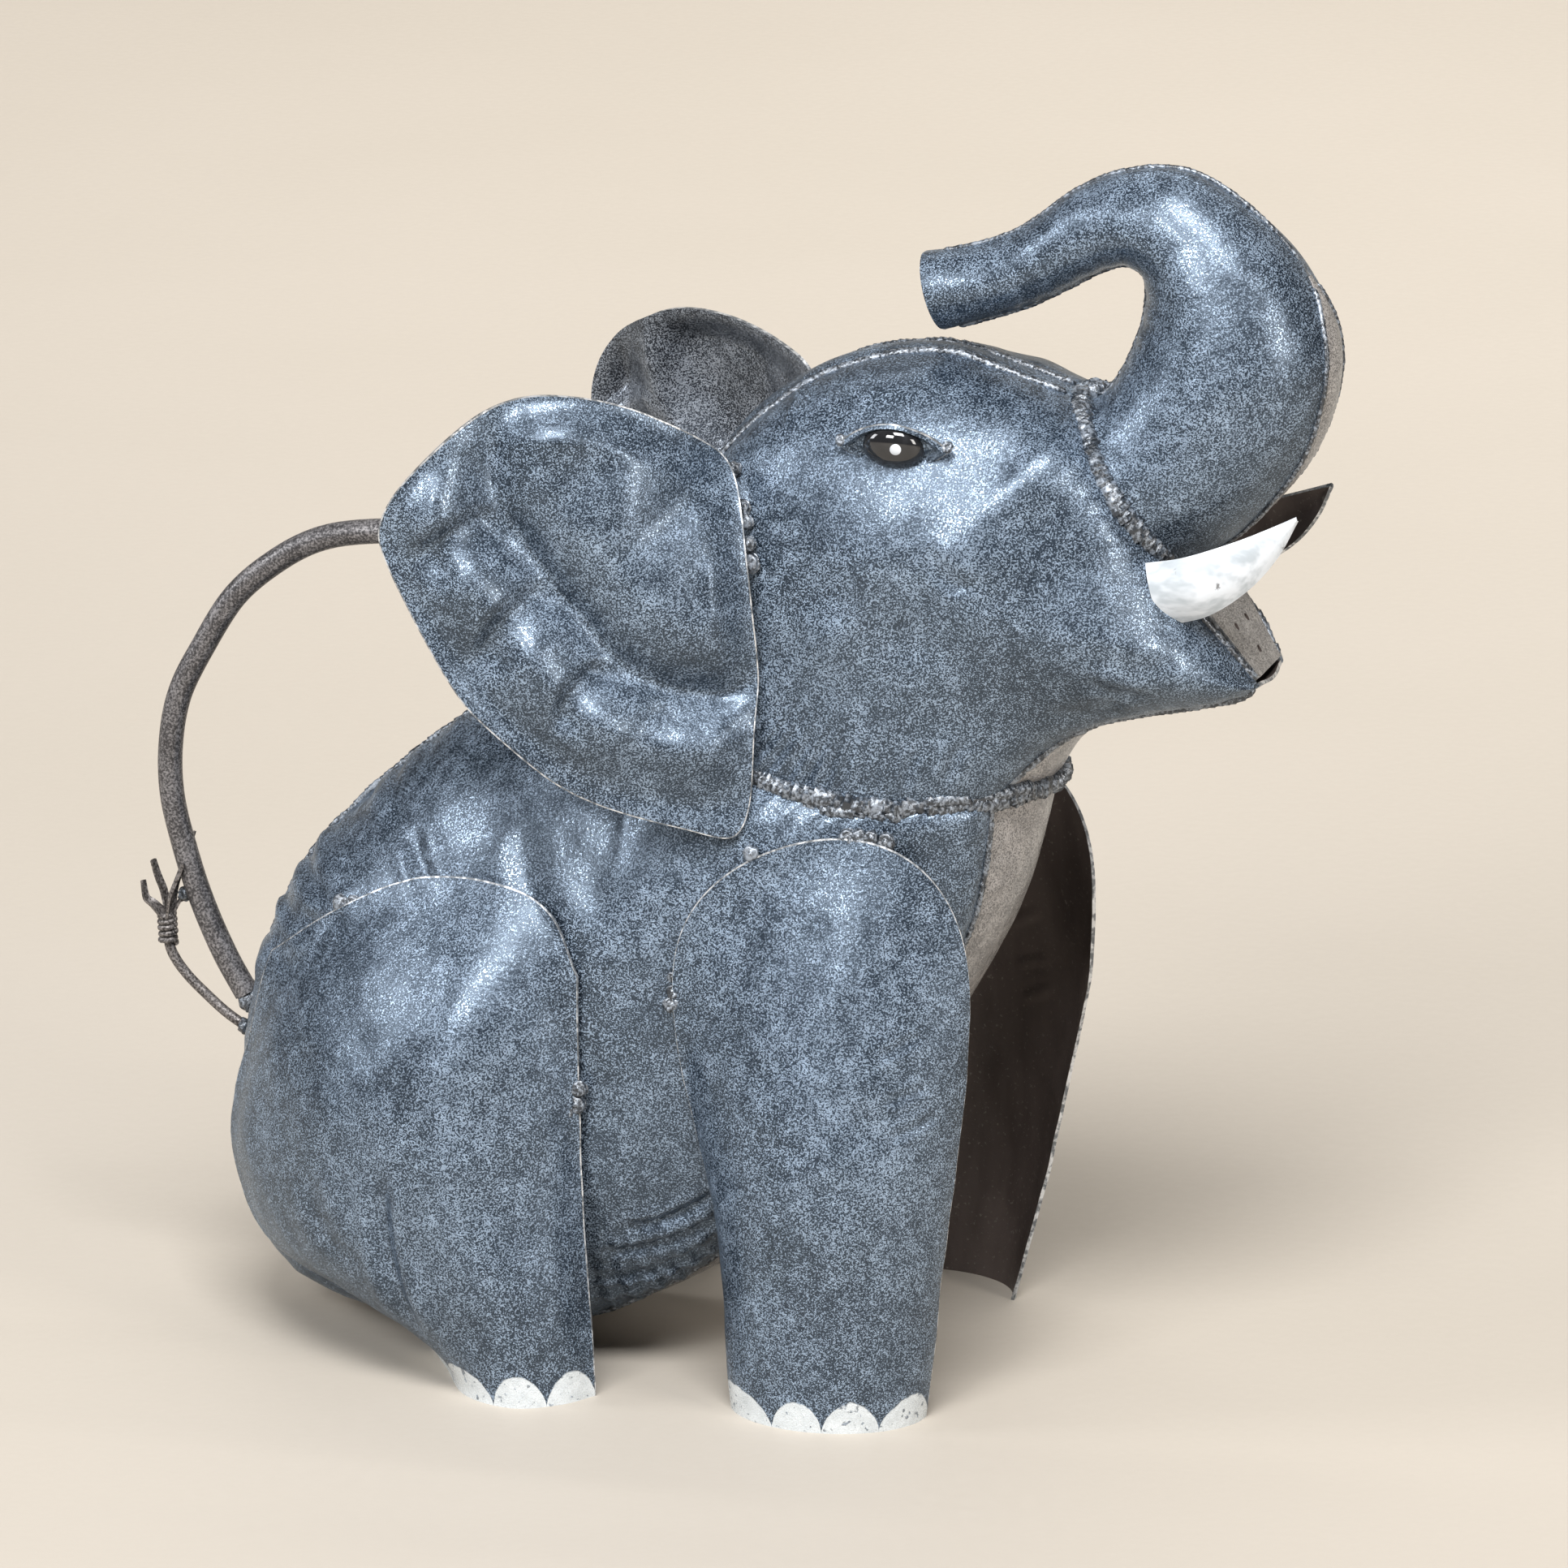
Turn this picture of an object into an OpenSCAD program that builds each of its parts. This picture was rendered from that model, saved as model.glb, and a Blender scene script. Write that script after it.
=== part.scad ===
// Sitting elephant watering can, welded from bent and stretched sheet steel.
// Frame: +X to the trunk side, +Y to the animal's left, +Z up, floor at Z = 0.
// Every sheet is a closed shell of its own; weld beads bridge the sheets.

/* [Sheet] */
// thickness of every formed sheet, mm
sheet_t = 1.0; // [0.8:0.1:1.4]
// clearance left between sheets that butt under a weld, mm
seam_gap = 0.3; // [0.1:0.1:0.6]

/* [Body] */
// greatest half width of the body bag, mm
body_half = 56; // [52:1:60]
// how boxy the body's side section is, higher is flatter
body_power = 2.6; // [2:0.1:3.4]
// half width of the chest strip at the neck, mm
chest_half = 28; // [24:1:32]
// half width of the neck ring, mm
neck_half = 47; // [44:1:50]
// radius of the fill opening in the nape of the back, mm
fill_r = 16; // [12:1:18]

/* [Head] */
// greatest half width of the head, mm
head_half = 48; // [45:1:52]
// how boxy the head's side section is
head_power = 2.4; // [2:0.1:3]
// half width of the chin strip at the lip, mm
chin_half = 12.5; // [10:0.5:13]

/* [Rose plate] */
// diameter of the pouring holes, mm
rose_hole_d = 2.2; // [1.5:0.1:3]
// distance between neighbouring pouring holes, mm
rose_pitch = 11; // [9:0.5:12]
// rows of pouring holes, the first row has one hole per row
rose_rows = 4; // [3:1:4]

/* [Trunk] */
// widest half width of the strip on the outside of the trunk, mm
trunk_strip_half = 9.5; // [7:0.5:11]

/* [Legs] */
// width of a front leg sheet at the floor, mm
front_foot_w = 54; // [48:1:60]
// depth of the curl of a front leg sheet at the floor, mm
front_foot_d = 22; // [16:1:26]

/* [Handle] */
// outside diameter of the rolled handle tube, mm
handle_d = 7; // [6:0.5:8]
// wall of the handle tube, mm
handle_wall = 1.2; // [0.8:0.1:1.6]
// diameter of the tail rod, mm
tail_d = 3; // [2.4:0.2:4]

/* [Welds] */
// radius of a plain seam bead, mm
bead_r = 1.6; // [1.2:0.1:2.2]
// radius of the heavy beads at the neck and the trunk, mm
heavy_r = 2.6; // [2:0.1:3.2]
// radius of a tack, mm
tack_r = 3.2; // [2.4:0.1:4]

/* [Hidden] */
// moves the modelled shape so that the middle of its length sits at X = 0
x_shift = 12.8;
e_side = [0, 1, 0];
e_up = [0, 0, 1];
ring_a0 = 10.3;
ring_a1 = 128.2;
neck_front = 36.6;
neck_nape = 165.2;
eps = 0.0001;

// ---------------------------------------------------------------- curves

function unit(v) = v / max(norm(v), eps);
function mix(a, b, t) = a + (b - a) * t;
// smooth curve through the knots, t from 0 to 1
function curve(p, t) =
    let (n = len(p) - 1)
    let (s = min(n - eps, max(0, t * n)))
    let (i = floor(s))
    let (f = s - i)
    let (b = p[i])
    let (c = p[i + 1])
    let (a = i > 0 ? p[i - 1] : 2 * b - c)
    let (d = i + 2 <= n ? p[i + 2] : 2 * c - b)
    0.5 * ((2 * b) + (c - a) * f + (2 * a - 5 * b + 4 * c - d) * f * f
        + (3 * b - a - 3 * c + d) * f * f * f);
// the same through a closed ring of knots
function loop_curve(p, t) =
    let (n = len(p))
    let (s = t * n)
    let (i = floor(s))
    let (f = s - i)
    let (a = p[(i + n - 1) % n])
    let (b = p[i % n])
    let (c = p[(i + 1) % n])
    let (d = p[(i + 2) % n])
    0.5 * ((2 * b) + (c - a) * f + (2 * a - 5 * b + 4 * c - d) * f * f
        + (3 * b - a - 3 * c + d) * f * f * f);
function steps(n) = [for (i = [0 : n - 1]) i / n];
function flat_list(g) = [for (row = g) for (q = row) q];
function mirrored(p) = [p[0], -p[1], p[2]];

// ---------------------------------------------------------------- shells

// second skin of an open grid, cut square to e at its edges when e is given
function skin(g, th) =
    let (m = len(g) - 1)
    let (n = len(g[0]) - 1)
    [for (i = [0 : m]) [for (j = [0 : n])
        let (a = g[min(m, i + 1)][j] - g[max(0, i - 1)][j])
        let (b = g[i][min(n, j + 1)] - g[i][max(0, j - 1)])
        g[i][j] - th * unit(cross(a, b))]];

// keeps the first row of a skin on the floor
function floored(h) = [for (i = [0 : len(h) - 1]) [for (q = h[i]) i == 0 ? [q[0], q[1], 0] : q]];

// closed sheet between two grids; the first is the one that a x b points out of
module sheet(g, h) {
    m = len(g) - 1;
    n = len(g[0]) - 1;
    w = n + 1;
    o = (m + 1) * w;
    faces = concat(
        [for (i = [0 : m - 1]) for (j = [0 : n - 1]) for (k = [0, 1])
            let (a = i * w + j)
            k == 0 ? [a, a + 1, a + w + 1] : [a, a + w + 1, a + w]],
        [for (i = [0 : m - 1]) for (j = [0 : n - 1]) for (k = [0, 1])
            let (a = o + i * w + j)
            k == 0 ? [a, a + w + 1, a + 1] : [a, a + w, a + w + 1]],
        [for (j = [0 : n - 1]) for (k = [0, 1])
            k == 0 ? [j + 1, j, o + j] : [j + 1, o + j, o + j + 1]],
        [for (j = [0 : n - 1]) for (k = [0, 1])
            let (a = m * w + j)
            k == 0 ? [a, a + 1, o + a + 1] : [a, o + a + 1, o + a]],
        [for (i = [0 : m - 1]) for (k = [0, 1])
            let (a = i * w)
            k == 0 ? [a, a + w, o + a + w] : [a, o + a + w, o + a]],
        [for (i = [0 : m - 1]) for (k = [0, 1])
            let (a = i * w + n)
            k == 0 ? [a + w, a, o + a] : [a + w, o + a, o + a + w]]);
    polyhedron(points = concat(flat_list(g), flat_list(h)), faces = faces, convexity = 6);
}

// second skin of a dished grid whose rim is cut square to the directions in cut
function dish_skin(g, c, th, cut) =
    let (m = len(g) - 1)
    let (n = len(g[0]))
    [for (i = [0 : m]) [for (j = [0 : n - 1])
        let (a = g[min(m, i + 1)][j] - (i == 0 ? c : g[i - 1][j]))
        let (b = g[i][(j + 1) % n] - g[i][(j + n - 1) % n])
        let (q = cross(a, b))
        let (r = i < m ? q : q - (q * cut[j]) * cut[j])
        g[i][j] - th * unit(r)]];

// closed sheet on a dished grid: rings of points around a centre point
module dish(g, c, h, d) {
    m = len(g) - 1;
    n = len(g[0]);
    o = (m + 1) * n;
    ci = 2 * o;
    faces = concat(
        [for (j = [0 : n - 1]) [ci, (j + 1) % n, j]],
        [for (j = [0 : n - 1]) [ci + 1, o + j, o + (j + 1) % n]],
        [for (i = [0 : m - 1]) for (j = [0 : n - 1]) for (k = [0, 1])
            let (a = i * n + j)
            let (b = i * n + (j + 1) % n)
            k == 0 ? [a, b, b + n] : [a, b + n, a + n]],
        [for (i = [0 : m - 1]) for (j = [0 : n - 1]) for (k = [0, 1])
            let (a = o + i * n + j)
            let (b = o + i * n + (j + 1) % n)
            k == 0 ? [a, b + n, b] : [a, a + n, b + n]],
        [for (j = [0 : n - 1]) for (k = [0, 1])
            let (a = m * n + j)
            let (b = m * n + (j + 1) % n)
            k == 0 ? [a, b, o + b] : [a, o + b, o + a]]);
    polyhedron(points = concat(flat_list(g), flat_list(h), [c, d]), faces = faces,
        convexity = 6);
}

// solid rod along a path; r is one radius or a list, ends are flat
module rod(path, r, sides = 8, closed = false) {
    m = len(path);
    last = closed ? m - 1 : m - 2;
    ring = [for (i = [0 : m - 1])
        let (p = path[closed ? (i + m - 1) % m : max(0, i - 1)])
        let (q = path[closed ? (i + 1) % m : min(m - 1, i + 1)])
        let (t = unit(q - p))
        let (s = abs(t[1]) < 0.9 ? e_side : [1, 0, 0])
        let (u = unit(cross(t, s)))
        let (v = cross(t, u))
        let (k = is_list(r) ? r[i] : r)
        for (j = [0 : sides - 1])
            path[i] + k * (cos(360 * j / sides) * u + sin(360 * j / sides) * v)];
    faces = concat(
        [for (i = [0 : last]) for (j = [0 : sides - 1]) for (k = [0, 1])
            let (a = i * sides + j)
            let (b = i * sides + (j + 1) % sides)
            let (c = ((i + 1) % m) * sides + j)
            let (d = ((i + 1) % m) * sides + (j + 1) % sides)
            k == 0 ? [a, c, d] : [a, d, b]],
        closed ? [] : [[for (j = [0 : sides - 1]) j],
            [for (j = [0 : sides - 1]) m * sides - 1 - j]]);
    polyhedron(points = ring, faces = faces, convexity = 6);
}

// hollow rod with square open ends
module pipe(path, r, wall, sides) {
    m = len(path);
    n = m * sides;
    ring = [for (k = [r, r - wall]) for (i = [0 : m - 1])
        let (t = unit(path[min(m - 1, i + 1)] - path[max(0, i - 1)]))
        let (u = unit(cross(t, e_side)))
        for (j = [0 : sides - 1])
            path[i] + k * (cos(360 * j / sides) * u + sin(360 * j / sides) * cross(t, u))];
    faces = concat(
        [for (i = [0 : m - 2]) for (j = [0 : sides - 1]) for (k = [0 : 3])
            let (a = i * sides + j)
            let (b = i * sides + (j + 1) % sides)
            k == 0 ? [a, a + sides, b + sides] : k == 1 ? [a, b + sides, b]
                : k == 2 ? [n + a, n + b + sides, n + a + sides] : [n + a, n + b, n + b + sides]],
        [for (j = [0 : sides - 1]) for (k = [0 : 3])
            let (b = (j + 1) % sides)
            let (e = (m - 1) * sides)
            k == 0 ? [j, b, n + b] : k == 1 ? [j, n + b, n + j]
                : k == 2 ? [e + j, n + e + b, e + b] : [e + j, n + e + j, n + e + b]]);
    polyhedron(points = ring, faces = faces, convexity = 6);
}

// weld bead: a rod whose radius swells once per pitch
module bead(path, r, closed = false) {
    rod(path, [for (i = [0 : len(path) - 1]) r * (i % 2 == 0 ? 1 : 0.8)], 6, closed);
}

module place() {
    translate([x_shift, 0, 0]) children();
}
module steel() {
    color([0.30, 0.33, 0.36]) children();
}
module weld() {
    color([0.42, 0.42, 0.42]) children();
}
module other_side() {
    mirror([0, 1, 0]) children();
}

// ---------------------------------------------------------------- body

// ring where head and body meet; a = 0 is the throat, 180 the nape
function neck(a) =
    let (x = 28 + 51 * cos(a))
    [x, neck_half * sin(a), 166 + 17 * pow((79 - x) / 101, 3)];

// edge of the chest and belly strip, from the throat down, under and back to the rump
chest_edge = [neck(neck_front), [68, chest_half, 155], [65, chest_half, 137],
    [59, chest_half, 121], [49, chest_half - 1, 102], [35, 26, 80], [19, 25, 58],
    [1, 24, 39], [-19, 23, 24], [-41, 22, 12], [-62, 20, 6], [-88, 16, 4], [-114, 9, 5],
    [-136, 0.8, 10]];
// middle of the same strip
chest_mid = [[79, 0, 166], [77, 0, 155.5], [72, 0, 137], [65, 0, 120.5], [54.5, 0, 101],
    [40, 0, 78], [23.5, 0, 55.5], [4.5, 0, 36], [-16, 0, 21], [-39, 0, 9], [-61, 0, 3.4],
    [-88, 0, 2], [-114, 0, 3.5], [-136, 0, 9.9]];
// centre seam of the back, from the rump up to the shoulders
back_seam = [[-136, 0, 9.7], [-146, 0, 22], [-151.5, 0, 44], [-152, 0, 63], [-149, 0, 84],
    [-145, 0, 101], [-138.5, 0, 117], [-130.5, 0, 130.5], [-120, 0, 142.5], [-105, 0, 156.5],
    [-86, 0, 172]];
// the same seam from the shoulders to the nape; the fill opening is cut through it
nape_seam = [[-86, 0, 172], [-63, 0, 180.5], [-41, 0, 184.3], [-23, 0, 183]];
fill_x = -61;
body_centre = [-38, 92];

// rim of a body panel, points with the direction their cut edge is square to
body_rim = concat(
    [for (i = [0 : 9]) [neck(mix(180, neck_front, i / 10)) - [0, 0, seam_gap / 2], e_up]],
    [for (t = steps(20)) [curve(chest_edge, t), e_side]],
    [for (t = steps(12)) [curve(back_seam, t), e_side]],
    [for (t = steps(6)) [curve(nape_seam, t), e_side]]);

function pillow(rim, c, half, power, rings) =
    [for (k = [1 : rings])
        let (r = sin(90 * k / rings))
        let (f = sqrt(max(0, 1 - pow(r, power))))
        [for (q = rim) [mix(c[0], q[0][0], r), mix(q[0][1] + seam_gap / 2, half, f),
            mix(c[1], q[0][2], r)]]];

// evens out the swell of a dished grid, its rim kept
function eased(g, times) = times == 0 ? g :
    let (m = len(g) - 1)
    let (n = len(g[0]))
    eased([for (i = [0 : m]) [for (j = [0 : n - 1])
        let (q = g[i][j])
        i == m ? q :
        let (y = (g[i + 1][j][1] + g[max(0, i - 1)][j][1]
            + g[i][(j + 1) % n][1] + g[i][(j + n - 1) % n][1]) / 4)
        [q[0], mix(q[1], y, 0.5), q[2]]]], times - 1);

module panel(rim, c, half, power, rings) {
    g = eased(pillow(rim, c, half, power, rings), 3);
    cut = [for (q = rim) q[1]];
    mid = [c[0], g[0][0][1] + 0.2, c[1]];
    dish(g, mid, dish_skin(g, mid, sheet_t, cut), mid - [0, sheet_t, 0]);
}

// strip between two mirrored edges, bowed to its own middle line
function strip_grid(edge, middle, n, wide, gap) =
    [for (i = [0 : n])
        let (a = curve(edge, i / n))
        let (b = curve(middle, i / n))
        [for (k = [-wide : wide])
            let (s = k / wide)
            [mix(b[0], a[0], s * s), s * max(a[1] - gap, 0.3), mix(b[2], a[2], s * s)]]];

module strip(edge, middle, n, wide) {
    g = strip_grid(edge, middle, n, wide, seam_gap / 2);
    h = skin(g, sheet_t);
    sheet(g, [for (i = [0 : n]) [for (j = [0 : 2 * wide])
        j == 0 || j == 2 * wide ? [h[i][j][0], g[i][j][1], h[i][j][2]] : h[i][j]]]);
}

module body_panel() {
    difference() {
        panel(body_rim, body_centre, body_half, body_power, 7);
        translate([fill_x, 0, 150]) cylinder(h = 60, r = fill_r, $fn = 40);
    }
}
module body_left_panel() {
    steel() place() body_panel();
}
module body_right_panel() {
    steel() place() other_side() body_panel();
}
module chest_belly_strip() {
    color([0.42, 0.40, 0.38]) place() strip(chest_edge, chest_mid, 26, 3);
}

// ---------------------------------------------------------------- head

// ring where the trunk leaves the face; a = 0 is the top
ring_c = [102, 250];
ring_d = [0.563, -0.826];
ring_r = 26.6;
e_ring = [0.826, 0, 0.563];
function trunk_ring(a) =
    [ring_c[0] - ring_d[0] * ring_r * cos(a), 28 * sin(a), ring_c[1] - ring_d[1] * ring_r * cos(a)];

crown_edge = [neck(neck_nape), [-24, 15, 200], [-20, 16, 228], [-9, 15, 253], [10, 10, 270.8],
    [30, 7.5, 279.8], [50, 5.5, 282.3], [67.5, 5, 277.8], trunk_ring(ring_a0)];
crown_mid = [[-23.4, 0, 183.2], [-26, 0, 200], [-22.5, 0, 229], [-11, 0, 255], [9, 0, 273],
    [30, 0, 281.3], [50, 0, 283.3], [67.5, 0, 278.6], [87, 0, 272.1]];
mouth_edge = [trunk_ring(ring_a1), [117, 21.5, 228], [124, 19, 217.5], [132, 16.5, 208],
    [138, chin_half, 199]];
jaw_edge = [[138, chin_half, 199], [131, chin_half + 1, 195.3], [110, 14, 190.3],
    [95, 17, 186.8], [82, 22, 179.3], neck(neck_front)];
jaw_mid = [[139, 0, 198], [131, 0, 194.3], [110, 0, 188.8], [96, 0, 184.6], [86, 0, 177.3],
    [79, 0, 166.2]];
head_centre = [48, 228];

head_rim = concat(
    [for (t = steps(14)) [curve(crown_edge, t), e_side]],
    [for (i = [0 : 7]) [trunk_ring(mix(ring_a0, ring_a1, i / 8)) - seam_gap / 2 * e_ring, e_ring]],
    [for (t = steps(5)) [curve(mouth_edge, t), e_ring]],
    [for (t = steps(7)) [curve(jaw_edge, t), e_side]],
    [for (i = [0 : 8]) [neck(mix(neck_front, neck_nape, i / 9)) + [0, 0, seam_gap / 2], e_up]]);

module head_left_panel() {
    steel() place() panel(head_rim, head_centre, head_half, head_power, 7);
}
module head_right_panel() {
    steel() place() other_side() panel(head_rim, head_centre, head_half, head_power, 7);
}
module crown_strip() {
    steel() place() strip(crown_edge, crown_mid, 20, 2);
}
module jaw_strip() {
    steel() place() strip(jaw_edge, jaw_mid, 10, 2);
}

// flat perforated plate that closes the mouth
rose_top = [114.6, 233];
rose_low = [137, 200.6];
rose_len = norm(rose_low - rose_top);
rose_tilt = atan2(rose_top[1] - rose_low[1], rose_low[0] - rose_top[0]);
module rose_plate() {
    color([0.45, 0.43, 0.40]) place()
        translate([rose_top[0], 0, rose_top[1]]) rotate([0, rose_tilt, 0])
            difference() {
                linear_extrude(height = sheet_t)
                    polygon([[0, -20.4], [rose_len * 0.28, -19.6], [rose_len, -chin_half + 0.6],
                        [rose_len, chin_half - 0.6], [rose_len * 0.28, 19.6], [0, 20.4]]);
                for (i = [0 : rose_rows - 1])
                    for (k = [0 : rose_rows - 1 - i])
                        translate([8 + i * rose_pitch * 0.78,
                            (k - (rose_rows - 1 - i) / 2) * rose_pitch, -1])
                            cylinder(h = sheet_t + 2, d = rose_hole_d, $fn = 24);
            }
}

// ---------------------------------------------------------------- trunk

// inner x, inner z, outer x, outer z, half width, half width of the outer strip
trunk_rows = [[87, 271.6, 117, 228, 28, 4], [92, 273, 133, 240, 28.5, 6.5],
    [97, 280, 148.5, 259, 28, 8.5], [100.5, 288, 155, 278, 27, trunk_strip_half],
    [102.7, 296, 154.2, 293, 25, 7.5], [103, 302.6, 145.3, 310.3, 22, 0.5],
    [101, 306.6, 132, 324, 19, 0.5], [96, 307.8, 115.4, 333.8, 16.5, 0.5],
    [88, 304.5, 98.8, 333.6, 14.5, 0.5], [78, 298.7, 84.2, 327.5, 13, 0.5],
    [68, 294, 69.2, 316.4, 12, 0.5], [57, 290.4, 55, 310.5, 11, 0.5], [48, 287.3, 42, 308, 10.7, 0.5]];
function trunk_point(q, a) =
    let (c = [q[0] + q[2], q[1] + q[3]] / 2)
    let (h = [q[2] - q[0], q[3] - q[1]] / 2)
    [c[0] - h[0] * cos(a), q[4] * sin(a), c[1] - h[1] * cos(a)];
trunk_n = 28;
function trunk_half_grid() =
    [for (i = [0 : trunk_n])
        let (q = curve(trunk_rows, i / trunk_n))
        let (w = q[5] < 0.8 ? 0 : q[5] + seam_gap / 2)
        let (a1 = 180 - asin(w / q[4]))
        let (a0 = 0)
        [for (j = [0 : 8])
            let (p = trunk_point(q, mix(a0, a1, j / 8)))
            [p[0], max(p[1], seam_gap / 2), p[2]]]];
module trunk_half() {
    g = trunk_half_grid();
    h = skin(g, sheet_t);
    // both long edges are cut square to Y and the base edge square to the ring's axis
    sheet(g, [for (i = [0 : trunk_n]) [for (j = [0 : 8])
        let (d = h[i][j] - g[i][j])
        let (e = i == 0 ? e_ring : e_side)
        let (k = i == 0 ? d - (d * e) * e : d)
        let (f = j == 0 || j == 8 ? [k[0], 0, k[2]] : k)
        g[i][j] + sheet_t * unit(f)]]);
}
strip_rows = 12;
module trunk_front_strip() {
    g = [for (i = [0 : strip_rows])
        let (q = curve(trunk_rows, (i + 0.02) / strip_rows * 4.85 / 12))
        [for (k = [-2 : 2]) trunk_point(q, 180 + asin(max(q[5], 0.5) / q[4]) * k / 2)]];
    color([0.36, 0.38, 0.40]) place() sheet(g, skin(g, -sheet_t));
}
module trunk_left_half() {
    steel() place() trunk_half();
}
module trunk_right_half() {
    steel() place() other_side() trunk_half();
}

// ---------------------------------------------------------------- ears

ear_rim = [[-2, 33, 256.5], [-8, 42, 264], [-22, 51, 273], [-36, 57.5, 277], [-49, 64.5, 277.5],
    [-60.3, 72, 272.6], [-70.6, 79.5, 262.6], [-79.6, 84.2, 252.6], [-83.4, 86, 243], [-82, 86, 236.5],
    [-76, 85.5, 223], [-63, 84, 199], [-53.5, 81, 188.5], [-42.5, 77, 178], [-34.5, 74, 172],
    [-22.5, 69, 166], [-5, 61, 160.5], [4.5, 57, 157.5], [8, 54, 162], [9.5, 51, 174],
    [10, 47, 199], [8.5, 45.5, 222], [6, 44, 237], [3, 39.5, 248]];
ear_centre = [-34, 222];
ear_bulge = 3;
// plane that the ear lies along, swept back and out
function ear_plane(x, z) = 41 - 0.5655 * (x + 2.5) - 0.2391 * (z - 256);
// the left ear is bent to its own outline along the top
left_ear_rim = concat([[1, 36, 264], [-8, 43, 269], [-22, 51, 273], [-36, 57.5, 274.5],
    [-49, 64.5, 273.2], [-60, 72, 267.6], [-69.2, 79, 261], [-75.5, 83.5, 252], [-77.8, 85.5, 243],
    [-77, 86, 236], [-72.5, 85.5, 223], [-62, 84, 199]], [for (i = [12 : 23]) ear_rim[i]]);
module ear(rim) {
    rings = 6;
    n = 36;
    g = [for (k = [1 : rings])
        let (r = k / rings)
        [for (t = steps(n))
            let (q = loop_curve(rim, t))
            let (x = mix(ear_centre[0], q[0], r))
            let (z = mix(ear_centre[1], q[2], r))
            [x, ear_plane(x, z) + (q[1] - ear_plane(q[0], q[2])) * pow(r, 3)
                + ear_bulge * (1 - r * r), z]]];
    flip = [for (row = g) [for (j = [0 : n - 1]) row[n - 1 - j]]];
    mid = [ear_centre[0], ear_plane(ear_centre[0], ear_centre[1]) + ear_bulge, ear_centre[1]];
    none = [for (j = [0 : n - 1]) [0, 0, 0]];
    dish(flip, mid, dish_skin(flip, mid, sheet_t, none), mid - [0, sheet_t, 0]);
}
module left_ear() {
    steel() place() ear(left_ear_rim);
}
module right_ear() {
    steel() place() other_side() ear(ear_rim);
}

// ---------------------------------------------------------------- eyes

eye_at = [45, 39.6, 264.5];
eye_tilt = -27;
module eye_frame() {
    translate(eye_at) rotate([eye_tilt - 90, 0, 0]) children();
}
module almond(a, b, z0, th) {
    n = 12;
    translate([0, 0, z0]) linear_extrude(height = th)
        polygon(concat(
            [for (i = [0 : n]) let (t = i / n * 2 - 1) [a * t, b * (1 - t * t)]],
            [for (i = [1 : n - 1]) let (t = 1 - i / n * 2) [a * t, -b * (1 - t * t)]]));
}
module dome(a, b, h, z0) {
    rings = 4;
    n = 20;
    g = [for (k = [1 : rings])
        let (r = sin(90 * k / rings))
        [for (t = steps(n)) [a * r * cos(360 * t), b * r * sin(360 * t),
            z0 + h * sqrt(max(0, 1 - r * r))]]];
    m = rings - 1;
    faces = concat(
        [for (j = [0 : n - 1]) [m * n + n, (j + 1) % n, j]],
        [for (i = [0 : m - 1]) for (j = [0 : n - 1]) for (k = [0, 1])
            let (p = i * n + j)
            let (q = i * n + (j + 1) % n)
            k == 0 ? [p, q, q + n] : [p, q + n, p + n]],
        [[for (j = [0 : n - 1]) m * n + j]]);
    polyhedron(points = concat(flat_list(g), [[0, 0, z0 + h]]), faces = faces);
}
module left_eye_plate() {
    steel() place() eye_frame() almond(15.5, 8, 0, sheet_t);
}
module right_eye_plate() {
    steel() place() other_side() eye_frame() almond(15.5, 8, 0, sheet_t);
}
module left_eye_dome() {
    color([0.05, 0.05, 0.05]) place() eye_frame() dome(8.4, 6, 4.6, sheet_t + 0.02);
}
module right_eye_dome() {
    color([0.05, 0.05, 0.05]) place() other_side() eye_frame() dome(8.4, 6, 4.6, sheet_t + 0.02);
}

// ---------------------------------------------------------------- tusks

tusk_top = [[110.5, 29, 234.5], [121, 30.5, 237], [133, 28, 241], [142, 24, 244.5], [149, 20, 247.5]];
tusk_low = [[116, 28, 217.5], [128, 29, 221.5], [138, 26.5, 228.5], [145, 23, 237], [149.6, 20, 246.4]];
module tusk() {
    n = 10;
    g = [for (i = [0 : n])
        let (a = curve(tusk_top, i / n))
        let (b = curve(tusk_low, i / n))
        [for (k = [0 : 4])
            let (s = k / 4)
            mix(a, b, s) + [0, 4 * (1 - 0.8 * i / n) * 4 * s * (1 - s), 0]]];
    sheet(g, skin(g, sheet_t));
}
module left_tusk() {
    color([0.92, 0.94, 0.96]) place() tusk();
}
module right_tusk() {
    color([0.92, 0.94, 0.96]) place() other_side() tusk();
}

// ---------------------------------------------------------------- legs

// rear x, front x, rear edge y, middle y and front edge y of the front leg sheet, floor up
leg_rows = [[31 - front_foot_w / 2, 31 + front_foot_w / 2, 52, 51 + front_foot_d, 51],
    [2.5, 60.5, 52, 75, 51], [1, 62.5, 53, 76, 52], [-1.5, 64.7, 55, 74, 52],
    [-4.8, 66.8, 57, 69.5, 52], [-8.8, 68.6, 57.5, 61.5, 51.5], [-10.9, 69.4, 57.3, 53.3, 50.5]];
leg_side = 122;
leg_top = 159.5;
left_leg_lean = 8;
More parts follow.
